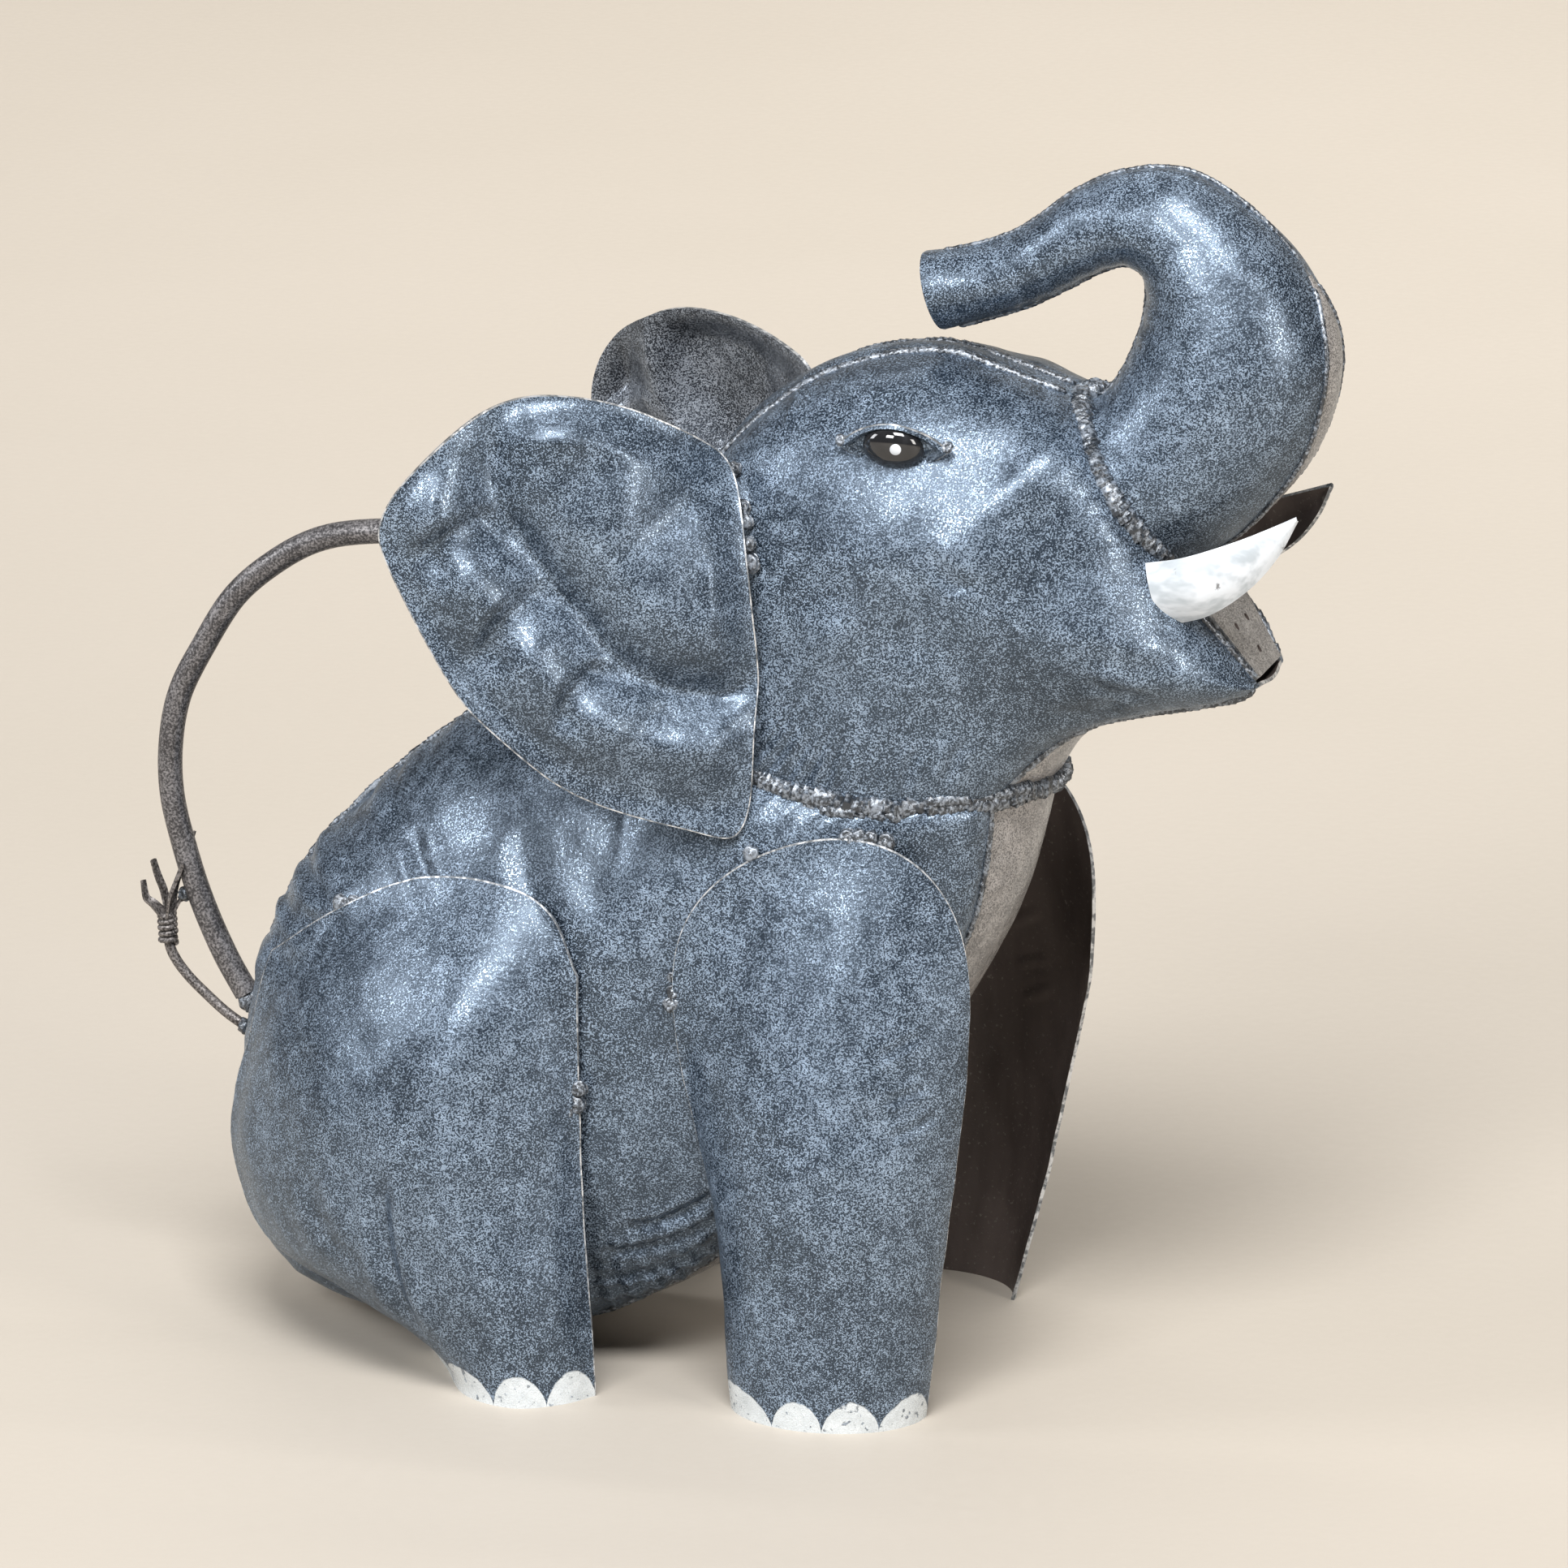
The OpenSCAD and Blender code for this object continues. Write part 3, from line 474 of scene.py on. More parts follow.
def inside_paint():
    n = Nodes("dark_inside")
    streak = n.noise(60, 4, 0.6, n.stretch(1.0, 1.0, 0.25))
    fine = n.noise(900, 2, 0.6)
    col = n.mixc(n.ramp(streak, 0.3, 0.7), (0.072, 0.056, 0.050), (0.130, 0.103, 0.092))
    col = n.mixc(n.ramp(fine, 0.62, 0.72), col, (0.19, 0.165, 0.15))
    nrm = n.bump(n.noise(140, 3, 0.6), 0.4, 0.0006)
    nrm = n.bump(fine, 0.3, 0.0002, nrm)
    return n.finish(col, n.ramp(streak, 0.3, 0.7, 0.42, 0.58), 0.1, nrm)


INSIDE = inside_paint()


def edge_steel():
    n = Nodes("cut_edge")
    rub = n.noise(420, 3, 0.6)
    col = n.mixc(n.ramp(rub, 0.40, 0.62), (0.16, 0.17, 0.18), (0.66, 0.67, 0.68))
    nrm = n.bump(n.noise(900, 2, 0.6), 0.5, 0.0002)
    return n.finish(col, n.ramp(rub, 0.3, 0.7, 0.5, 0.3), 0.7, nrm)


EDGE = edge_steel()


def weld_paint():
    n = Nodes("weld_paint")
    fine = n.noise(1000, 3, 0.65)
    soot = n.noise(150, 3, 0.6)
    mask = n.ramp(n.shifted(fine, soot, 0.5), 0.42, 0.64)
    col = n.mixc(mask, (0.016, 0.021, 0.028), (0.23, 0.26, 0.30))
    nrm = n.bump(fine, 0.5, 0.0003)
    return n.finish(col, n.ramp(soot, 0.3, 0.7, 0.30, 0.42), 0.4, nrm, IOR=2.0)


WELD = weld_paint()


def white_enamel():
    n = Nodes("white_enamel")
    brush = n.noise(260, 3, 0.6, n.stretch(0.25, 1.0, 0.55))
    chip = n.noise(150, 4, 0.62)
    col = n.mixc(n.ramp(brush, 0.35, 0.6), (0.36, 0.39, 0.41), (0.58, 0.605, 0.63))
    col = n.mixc(n.ramp(chip, 0.64, 0.70), col, (0.17, 0.17, 0.17))
    nrm = n.bump(brush, 0.5, 0.0003)
    return n.finish(col, n.ramp(chip, 0.4, 0.7, 0.34, 0.5), 0.0, nrm)


ENAMEL = white_enamel()


def foot_paint():
    """The leg paint with four scalloped white nails along the floor edge, laid out by the UV map:
    U counts nails, V is the height in units of a nail's height."""
    n = Nodes("graphite_speckle_nails", PAINT)
    leg_color = n.b.inputs["Base Color"].links[0].from_socket
    leg_rough = n.b.inputs["Roughness"].links[0].from_socket
    uv = n.t.nodes.new("ShaderNodeSeparateXYZ")
    n.link(n.t.nodes.new("ShaderNodeUVMap").outputs["UV"], uv.inputs["Vector"])
    wobble = n.math("MULTIPLY", n.math("SUBTRACT", n.noise(160, 3), 0.5), 0.30)
    x = n.math("SUBTRACT", n.math("MULTIPLY", n.math("FRACT", uv.outputs["X"]), 2.0), 1.0)
    dome = n.math("MAXIMUM", n.math("SUBTRACT", 1.0, n.math("MULTIPLY", x, x)), 0.0)
    top = n.math("ADD", n.math("POWER", dome, 0.62), wobble)
    nail = n.ramp(n.math("SUBTRACT", top, uv.outputs["Y"]), -0.02, 0.05)
    scrape = n.ramp(n.noise(520, 4), 0.60, 0.68, 1.0, 0.25)
    mask = n.math("MULTIPLY", nail, scrape)
    white = n.mixc(n.noise(300, 3), (0.42, 0.44, 0.44), (0.70, 0.715, 0.705))
    n.put(n.b.inputs["Base Color"], n.mixc(mask, leg_color, white))
    n.put(n.b.inputs["Metallic"], n.math("MULTIPLY", n.math("SUBTRACT", 1.0, mask), METAL))
    n.put(n.b.inputs["Roughness"], n.math("ADD", leg_rough, n.math("MULTIPLY", mask, -0.03)))
    return n.mat


FOOT = foot_paint()


def eye_gloss():
    n = Nodes("eye_gloss")
    haze = n.noise(300, 3, 0.6)
    col = n.mixc(n.ramp(haze, 0.4, 0.8), (0.010, 0.010, 0.011), (0.020, 0.020, 0.022))
    rough = n.ramp(haze, 0.3, 0.8, 0.06, 0.14)
    return n.finish(col, rough, 0.0, n.bump(haze, 0.06, 0.0002), **{"Coat Weight": 0.6})


EYE = eye_gloss()


def rod_paint(name, dark, light):
    n = Nodes(name)
    fine = n.noise(1500, 3, 0.6)
    long = n.noise(120, 3, 0.6)
    col = n.mixc(n.ramp(n.shifted(fine, long, 0.3), 0.38, 0.68), dark, light)
    nrm = n.bump(fine, 0.4, 0.00025)
    return n.finish(col, n.ramp(long, 0.3, 0.7, 0.34, 0.5), 0.5, nrm)


HANDLE = rod_paint("handle_paint", (0.048, 0.045, 0.046), (0.25, 0.237, 0.237))
TAIL = rod_paint("tail_steel", (0.035, 0.030, 0.028), (0.24, 0.22, 0.21))

# ------------------------------------------------------------------ body and head

NECK_HALF = 47.0
NECK_FRONT, NECK_NAPE = 36.6, 165.2


def neck(a):
    a = np.radians(np.asarray(a, float))
    x = 28 + 51 * np.cos(a)
    return np.stack([x, NECK_HALF * np.sin(a), 166 + 17 * ((79 - x) / 101) ** 3], axis=-1)


# joint ring of the trunk: centre and direction in the XZ plane, radius, half width, its axis
RING_C, RING_D, RING_R, RING_HALF = (102, 250), (0.563, -0.826), 26.6, 28
RING_AXIS = np.array([0.826, 0, 0.563])
RING_TOP, RING_LOW = 10.3, 128.2


def trunk_ring(a):
    a = np.radians(np.asarray(a, float))
    x, z = (RING_C[k] - RING_D[k] * RING_R * np.cos(a) for k in (0, 1))
    return np.stack([x, RING_HALF * np.sin(a), z], axis=-1)


CHEST_EDGE = [tuple(neck(NECK_FRONT)), (68, 28, 155), (65, 28, 137), (59, 28, 121), (49, 27, 102),
    (35, 26, 80), (19, 25, 58), (1, 24, 39), (-19, 23, 24), (-41, 22, 12), (-62, 20, 6),
    (-88, 16, 4), (-114, 9, 5), (-136, 0.8, 10)]
CHEST_MID = [(79, 0, 166), (77, 0, 155.5), (72, 0, 137), (65, 0, 120.5), (54.5, 0, 101),
    (40, 0, 78), (23.5, 0, 55.5), (4.5, 0, 36), (-16, 0, 21), (-39, 0, 9), (-61, 0, 3.4),
    (-88, 0, 2), (-114, 0, 3.5), (-136, 0, 9.9)]
BACK_SEAM = [(-136, 0, 9.7), (-146, 0, 22), (-151.5, 0, 44), (-152, 0, 63), (-149, 0, 84),
    (-145, 0, 101), (-138.5, 0, 117), (-130.5, 0, 130.5), (-120, 0, 142.5), (-105, 0, 156.5),
    (-86, 0, 172)]
NAPE_SEAM = [(-86, 0, 172), (-63, 0, 180.5), (-41, 0, 184.3), (-23, 0, 183)]
FILL_X, FILL_R = -61.0, 16.0

CROWN_EDGE = [tuple(neck(NECK_NAPE)), (-24, 15, 200), (-20, 16, 228), (-9, 15, 253),
    (10, 10, 270.8), (30, 7.5, 279.8), (50, 5.5, 282.3), (67.5, 5, 277.8),
    tuple(trunk_ring(RING_TOP))]
CROWN_MID = [(-23.4, 0, 183.2), (-26, 0, 200), (-22.5, 0, 229), (-11, 0, 255), (9, 0, 273),
    (30, 0, 281.3), (50, 0, 283.3), (67.5, 0, 278.6), (87, 0, 272.1)]
MOUTH_EDGE = [tuple(trunk_ring(RING_LOW)), (117, 21.5, 228), (124, 19, 217.5), (132, 16.5, 208),
    (138, 12.5, 199)]
JAW_EDGE = [(138, 12.5, 199), (131, 13.5, 195.3), (110, 14, 190.3), (95, 17, 186.8),
    (82, 22, 179.3), tuple(neck(NECK_FRONT))]
JAW_MID = [(139, 0, 198), (131, 0, 194.3), (110, 0, 188.8), (96, 0, 184.6), (86, 0, 177.3),
    (79, 0, 166.2)]


def rim_of(pieces, step):
    """One evenly spaced closed rim from open curves, with each point's piece and its place on it."""
    pts, seg, along = [], [], []
    for k, p in enumerate(pieces):
        n = max(4, int(arc(p)[-1] / step))
        q = respace(p, n + 1)[:-1]
        pts.append(q)
        seg.append(np.full(n, k))
        along.append(np.arange(n) / n)
    return np.concatenate(pts), np.concatenate(seg), np.concatenate(along)


def pillow(rim, centre, half, power, rings, spread):
    """Dished grid from a centre to a rim; its inner rings forget the corners of the rim."""
    n = len(rim)
    spec = np.fft.rfft(rim, axis=0)
    k = np.arange(spec.shape[0])[:, None]
    out = np.empty((rings, n, 3))
    for i in range(rings):
        r = math.sin(math.pi / 2 * (i + 1) / rings) if i else 0.004
        sig = spread * (1 - r) ** 0.8
        low = np.fft.irfft(spec * np.exp(-0.5 * (2 * math.pi * k * sig) ** 2), n, axis=0)
        if i == rings - 1:
            low = rim
        f = math.sqrt(max(0.0, 1 - r**power))
        out[i, :, 0] = centre[0] + r * (low[:, 0] - centre[0])
        out[i, :, 2] = centre[1] + r * (low[:, 2] - centre[1])
        out[i, :, 1] = half * f + low[:, 1] * (1 - f)
    return out


def rim_distance(g):
    d = np.linalg.norm(np.diff(g, axis=0), axis=2)[::-1]
    return np.concatenate([np.zeros((1, g.shape[1])), np.cumsum(d, axis=0)])[::-1]


def dents(p, seed, big=0.9, small=0.35):
    wide = big * noise(p, 34, seed) + big * 0.6 * noise(p, 21, seed + 1)
    return wide + small * noise(p, 9.5, seed + 2)


def pleat(q, a, b, width, depth, curl=0.0):
    """A crease along the straight line a-b in the XZ plane, fading at both ends."""
    a, b = np.array(a, float), np.array(b, float)
    d = b - a
    ln = np.linalg.norm(d)
    t = ((q - a) @ d) / ln**2
    e = (d[0] * (q - a)[..., 1] - d[1] * (q - a)[..., 0]) / ln + curl * 4 * t * (1 - t)
    fade = smooth(t * 4) * smooth((1 - t) * 4) * (t > 0) * (t < 1)
    return depth * fade * (-gauss(e, width) + 0.5 * gauss(np.abs(e) - 1.7 * width, width))


def flush_rim(base, h):
    """The inner skin stays on its own side of the middle plane along the rim."""
    h = h.copy()
    h[-1, :, 1] = np.maximum(h[-1, :, 1], base[-1, :, 1])
    return h


def finish_panel(name, g, relief, mirror):
    """A side panel with relief (a function of the grid and its distance from the rim) raised on it."""
    d = rim_distance(g)
    out = g + grid_normals(g, True) * (relief(g, d) * smooth(d / 5.0))[..., None]
    mats = (PAINT, INSIDE, EDGE)
    return sheet(name, out, mats, wrap=True, mirror=mirror, keep_inner=flush_rim), out


def cut_away(ob, verts, faces, mat):
    """Cuts a closed shape, verts in metres, out of a piece; the cut faces take mat."""
    shape = bpy.data.meshes.new("cutter")
    shape.from_pydata(verts, [], faces)
    shape.materials.append(mat)
    cutter = bpy.data.objects.new("cutter", shape)
    bpy.context.scene.collection.objects.link(cutter)
    mod = ob.modifiers.new("cut", "BOOLEAN")
    mod.object = cutter
    mod.operation = "DIFFERENCE"
    mod.solver = "EXACT"
    dg = bpy.context.evaluated_depsgraph_get()
    me = bpy.data.meshes.new_from_object(ob.evaluated_get(dg), depsgraph=dg)
    ob.modifiers.clear()
    old = ob.data
    ob.data = me
    bpy.data.meshes.remove(old)
    bpy.data.objects.remove(cutter)
    me.set_sharp_from_angle(angle=math.radians(SHARP))


STEP = 1.3
BODY = {}
# pleats as from, to, width, depth and curl, from the belly to the nape
BODY_PLEATS = [((-30, 44), (2, 60), 1.6, 1.5, 3), ((-36, 36), (0, 50), 1.5, 1.7, 3),
    ((-40, 28), (-4, 40), 1.3, 1.8, 3), ((-44, 22), (-12, 31), 1.2, 1.6, 2),
    ((-128, 118), (-104, 128), 2.2, 0.9, 3), ((-124, 104), (-110, 128), 2.4, 0.7, 2),
    ((-92, 150), (-74, 128), 3.0, 0.8, 3), ((-58, 158), (-40, 120), 5.0, 0.9, 4)]
HEAD_PLEATS = [((84, 192), (108, 199), 3.0, 0.7, 2), ((66, 186), (60, 172), 1.6, 0.8, 1),
    ((54, 184), (50, 171), 1.4, 0.8, 1), ((96, 214), (122, 208), 3.0, 0.6, 2),
    ((56, 240), (70, 228), 2.6, 0.7, 3), ((98, 206), (114, 200), 2.0, 0.7, 2)]
# hammered cheek and brow: x, z, radius and height
HEAD_DENTS = [(40, 232, 13, 1.3), (52, 214, 9, -1.1), (31, 214, 8, 0.9), (84, 262, 9, 1.2),
    (70, 272, 8, 1.0), (84, 246, 11, -0.9), (100, 222, 12, 0.8), (60, 190, 12, -0.8)]


def body_panel(side):
    mirror = side == "right"
    t = np.linspace(0, 1, 400)
    neck_run = neck(180 + (NECK_FRONT - 180) * t)
    runs = [neck_run, curve(CHEST_EDGE, t), curve(BACK_SEAM, t), curve(NAPE_SEAM, t)]
    rim, seg, along = rim_of(runs, STEP)
    rim = rim + [0, 0.1, 0]
    g = pillow(rim, (-38, 92), 56, 2.6, 84, 0.035)
    s = arc(rim, True)[:-1]
    seed = 11 if mirror else 51

    def relief(g, d):
        # puckers that run square to the seams
        phase = 2.2 * line_noise(s, 17, seed)[None]
        amp = 0.28 + 0.30 * line_noise(s, 23, seed + 3)[None]
        out = np.abs(amp) * ripple(s[None], 6.5, phase) * np.exp(-d / 7.0)
        # long soft pleats off the back seam
        back = gauss(along - 0.66, 0.30) * (seg == 2)
        out += 1.2 * back[None] * ripple(s[None], 17.0, 2.6 * phase) * np.exp(-d / 24.0)
        # tight pleats above the belly seam
        belly = gauss(along - 0.60, 0.115) * (seg == 1)
        out += 0.8 * belly[None] * ripple(s[None], 7.2, 1.5 * phase + d * 0.06) * gauss(d, 26.0)
        for fold in BODY_PLEATS:
            out += pleat(g[..., [0, 2]], *fold)
        return dents(g, seed, 0.85, 0.25) + out

    ob, done = finish_panel(f"vis_body_{side}_panel", g, relief, mirror)
    BODY[side] = Height(done)
    # half of the fill opening, cut through the finished sheet
    n = 72
    a = 2 * np.pi * np.arange(n) / n
    ring = np.stack([FILL_X + SHIFT + FILL_R * np.cos(a), FILL_R * np.sin(a)], axis=1)
    v = np.concatenate([np.c_[ring, np.full(n, z)] for z in (150.0, 215.0)]) * MM
    f = [tuple(range(n))[::-1], tuple(range(n, 2 * n))]
    f += [(i, (i + 1) % n, n + (i + 1) % n, n + i) for i in range(n)]
    cut_away(ob, [tuple(x) for x in v], f, EDGE)
    hand_in(ob, "graphite_paint", f"body_{side}_panel")


def head_panel(side):
    mirror = side == "right"
    t = np.linspace(0, 1, 400)
    ring_run = trunk_ring(RING_TOP + (RING_LOW - RING_TOP) * t) - 0.15 * RING_AXIS
    neck_run = neck(NECK_FRONT + (NECK_NAPE - NECK_FRONT) * t) + [0, 0, 0.15]
    runs = [curve(CROWN_EDGE, t), ring_run, curve(MOUTH_EDGE, t), curve(JAW_EDGE, t), neck_run]
    rim, seg, along = rim_of(runs, STEP * 0.85)
    rim = rim + [0, 0.1, 0]
    g = pillow(rim, (48, 228), 48, 2.4, 76, 0.030)
    s = arc(rim, True)[:-1]
    seed = 23 if mirror else 83

    def relief(g, d):
        q = g[..., [0, 2]]
        low = dents(g, seed, 0.75, 0.22)
        for cx, cz, r, h in HEAD_DENTS:
            low += 1.7 * h * np.exp(-(((q[..., 0] - cx) ** 2 + (q[..., 1] - cz) ** 2) / r**2))
        # flattened where the eye plate is let in
        low -= 1.8 * np.exp(-(((q[..., 0] - 45) / 18) ** 2) - ((q[..., 1] - 264) / 11) ** 2)
        phase = 2.0 * line_noise(s, 15, seed)[None]
        amp = np.abs(0.26 + 0.26 * line_noise(s, 21, seed + 3)[None])
        out = amp * ripple(s[None], 6.0, phase) * np.exp(-d / 6.0)
        # gathers above the neck weld
        edge = gauss(along - 0.50, 0.25) * (seg == 4)
        out += 0.8 * edge[None] * ripple(s[None], 5.4, 1.6 * phase) * gauss(d, 14.0)
        out += pleat(q, (13.5, 262), (14.5, 276.5), 0.8, 1.8)
        for fold in HEAD_PLEATS:
            out += pleat(q, *fold)
        return low + out

    ob, _ = finish_panel(f"vis_head_{side}_panel", g, relief, mirror)
    hand_in(ob, "graphite_paint", f"head_{side}_panel")


def strip_grid(edge, mid, m, n, gap=0.15):
    t = np.linspace(0, 1, m)
    a, b = curve(edge, t), curve(mid, t)
    s = np.linspace(-1, 1, n)
    g = np.empty((m, n, 3))
    g[..., 0] = b[:, None, 0] + (a - b)[:, None, 0] * s[None] ** 2
    g[..., 2] = b[:, None, 2] + (a - b)[:, None, 2] * s[None] ** 2
    g[..., 1] = s[None] * np.maximum(a[:, None, 1] - gap, 0.3)
    return g


def strip(node, edge, mid, m, n, seed, skin, amp):
    g = strip_grid(edge, mid, m, n)
    nrm = grid_normals(g)
    s = np.linspace(-1, 1, n)[None]
    fade = smooth((1 - np.abs(s)) * 4)
    along = arc(g[:, n // 2])
    phase = 2 * line_noise(along, 14, seed)[:, None]
    pucker = 0.22 * ripple(along[:, None], 6.3, phase) * np.abs(s) ** 2
    lift = (amp * dents(g, seed, 0.8, 0.3) + pucker) * fade
    ob = sheet("vis_" + node, g + nrm * lift[..., None], (skin, INSIDE, EDGE))
    hand_in(ob, "graphite_paint", node)


# ------------------------------------------------------------------ trunk

# along the trunk: x and z on the inside of the bend, x and z on the outside, half width, and half
# the front strip's width
TRUNK = [(87, 271.6, 117, 228, 28, 4), (92, 273, 133, 240, 28.5, 6.5),
    (97, 280, 148.5, 259, 28, 8.5), (100.5, 288, 155, 278, 27, 9.5),
    (102.7, 296, 154.2, 293, 25, 7.5), (103, 302.6, 145.3, 310.3, 22, 0.5),
    (101, 306.6, 132, 324, 19, 0.5), (96, 307.8, 115.4, 333.8, 16.5, 0.5),
    (88, 304.5, 98.8, 333.6, 14.5, 0.5), (78, 298.7, 84.2, 327.5, 13, 0.5),
    (68, 294, 69.2, 316.4, 12, 0.5), (57, 290.4, 55, 310.5, 11, 0.5),
    (48, 287.3, 42, 308, 10.7, 0.5)]


def trunk_point(q, a):
    """q rows of the table (m, 6), a angles in degrees (m, n)."""
    a = np.radians(a)
    c = (q[:, :2] + q[:, 2:4]) / 2
    h = (q[:, 2:4] - q[:, :2]) / 2
    out = np.empty(a.shape + (3,))
    out[..., 0] = c[:, :1] - h[:, :1] * np.cos(a)
    out[..., 2] = c[:, 1:] - h[:, 1:] * np.cos(a)
    out[..., 1] = q[:, 4:5] * np.sin(a)
    return out


def trunk_half(side):
    mirror = side == "right"
    m, n = 260, 80
    q = curve(TRUNK, np.linspace(0, 1, m))
    w = np.where(q[:, 5] < 0.8, 0, q[:, 5] + 0.15)
    a1 = 180 - np.degrees(np.arcsin(np.clip(w / q[:, 4], 0, 1)))
    a = np.linspace(0, 1, n)[None] * a1[:, None]
    g = trunk_point(q, a)
    g[..., 1] = np.maximum(g[..., 1], 0.15)
    nrm = grid_normals(g)
    seed = 31 if mirror else 91
    u = np.linspace(0, 1, n)[None]
    fade = smooth(u * 8) * smooth((1 - u) * 8) * smooth(np.linspace(0, 1, m) * 20)[:, None]
    lift = dents(g, seed, 0.7, 0.2)
    # ripples where the inside of the bend was gathered
    s = arc(g[:, 0])
    lift += 0.35 * ripple(s[:, None], 6.0, 2 * line_noise(s, 13, seed)[:, None]) * np.exp(-u * 7)
    # raised ridge along the flank of the bend
    lift += 1.1 * (gauss(u - 0.40, 0.10) * gauss(np.linspace(0, 12, m) - 5.2, 2.6)[:, None])
    g = g + nrm * (lift * fade)[..., None]
    ob = sheet(f"vis_trunk_{side}_half", g, (PAINT, INSIDE, EDGE), mirror=mirror)
    hand_in(ob, "graphite_paint", f"trunk_{side}_half")


def trunk_strip():
    m, n = 120, 22
    q = curve(TRUNK, np.linspace(0.0, 1, m) * 4.85 / 12)
    w = np.degrees(np.arcsin(np.maximum(q[:, 5], 0.5) / q[:, 4]))
    a = 180 + np.linspace(-1, 1, n)[None] * w[:, None]
    g = trunk_point(q, a)
    nrm = grid_normals(g)
    s = np.linspace(-1, 1, n)[None]
    g = g + nrm * (dents(g, 71, 0.3, 0.2) * smooth((1 - np.abs(s)) * 4))[..., None]
    # the front strip takes the lighter paint copy, which is painted light
    ob = sheet("vis_trunk_front_strip", g, (STRIP_PAINTED_LIGHT, INSIDE, EDGE))
    hand_in(ob, "graphite_paint", "trunk_front_strip")


# ------------------------------------------------------------------ rose plate


ROSE_TOP, ROSE_LOW = np.array([114.6, 233.0]), np.array([137.0, 200.6])
HOLE_R, HOLE_PITCH, HOLE_ROWS, HOLE_SIDES = 1.1, 11, 4, 28


def rose_plate():
    length = float(np.linalg.norm(ROSE_LOW - ROSE_TOP))
    down = (ROSE_LOW - ROSE_TOP) / length
    ex, ey, ez = np.array([down[0], 0, down[1]]), np.array([0, 1, 0]), np.array([-down[1], 0, down[0]])
    top = np.array([ROSE_TOP[0], 0, ROSE_TOP[1]])
    m, n = 90, 90
    u = np.linspace(0, 1, m)[:, None]
    v = np.linspace(-1, 1, n)[None]
    half = np.interp(u[:, 0], [0, 0.28, 1], [20.4, 19.6, 11.9])[:, None]
    g = top + ex * (u * length)[..., None] + ey * (half * v)[..., None] + ez * SHEET
    lift = 0.25 * noise(g, 14, 5) * smooth((1 - np.abs(v)) * 5) * smooth(u * 6) * smooth((1 - u) * 6)
    ob = sheet("vis_rose_plate", g + ez * lift[..., None], (ROSE, INSIDE, EDGE))
    verts, faces = [], []
    n = HOLE_SIDES
    for i in range(HOLE_ROWS):
        for k in range(HOLE_ROWS - i):
            c = top + ex * (8 + i * HOLE_PITCH * 0.78) + ey * (k - (HOLE_ROWS - 1 - i) / 2) * HOLE_PITCH
            o = len(verts)
            for z in (-3, 3):
                for j in range(n):
                    b = 2 * math.pi * j / n
                    p = c + ez * z + HOLE_R * (math.cos(b) * ex + math.sin(b) * ey)
                    verts.append(((p[0] + SHIFT) * MM, p[1] * MM, p[2] * MM))
            faces.append(tuple(o + j for j in range(n))[::-1])
            faces.append(tuple(o + n + j for j in range(n)))
            faces += [(o + j, o + (j + 1) % n, o + n + (j + 1) % n, o + n + j) for j in range(n)]
    cut_away(ob, verts, faces, INSIDE)
    hand_in(ob, "rose_paint", "rose_plate")


# ------------------------------------------------------------------ ears

EAR_RIM = [(-2, 33, 256.5), (-8, 42, 264), (-22, 51, 273), (-36, 57.5, 277), (-49, 64.5, 277.5),
    (-60.3, 72, 272.6), (-70.6, 79.5, 262.6), (-79.6, 84.2, 252.6), (-83.4, 86, 243),
    (-82, 86, 236.5), (-76, 85.5, 223), (-63, 84, 199), (-53.5, 81, 188.5), (-42.5, 77, 178),
    (-34.5, 74, 172), (-22.5, 69, 166), (-5, 61, 160.5), (4.5, 57, 157.5), (8, 54, 162),
    (9.5, 51, 174), (10, 47, 199), (8.5, 45.5, 222), (6, 44, 237), (3, 39.5, 248)]
LEFT_RIM = [(1, 36, 264), (-8, 43, 269), (-22, 51, 273), (-36, 57.5, 274.5), (-49, 64.5, 273.2),
    (-60, 72, 267.6), (-69.2, 79, 261), (-75.5, 83.5, 252), (-77.8, 85.5, 243), (-77, 86, 236),
    (-72.5, 85.5, 223), (-62, 84, 199)]
EAR_C = (-34.0, 222.0)
EAR_CREASE = np.array([(-58, 280), (-57.2, 265), (-56, 254), (-52.5, 244), (-43.5, 231),
    (-34.5, 219.5), (-27.4, 209.5), (-20.4, 203), (-11, 197.9), (0, 196), (7, 198),
    (14, 203)], float)
# radial folds in the flared rim: inner end, outer end, width, drop
EAR_FOLDS = [((-54, 247), (-76, 232), 3.2, 2.2), ((-41, 229), (-61, 203), 2.8, 2.4),
    ((-27.5, 208), (-38, 187), 2.4, 2.0), ((-12, 197), (-19, 172), 3.0, 0.9),
    ((-58, 262), (-78, 256), 3.5, 0.8)]


def ear_plane(x, z):
    return 41 - 0.5655 * (x + 2.5) - 0.2391 * (z - 256)


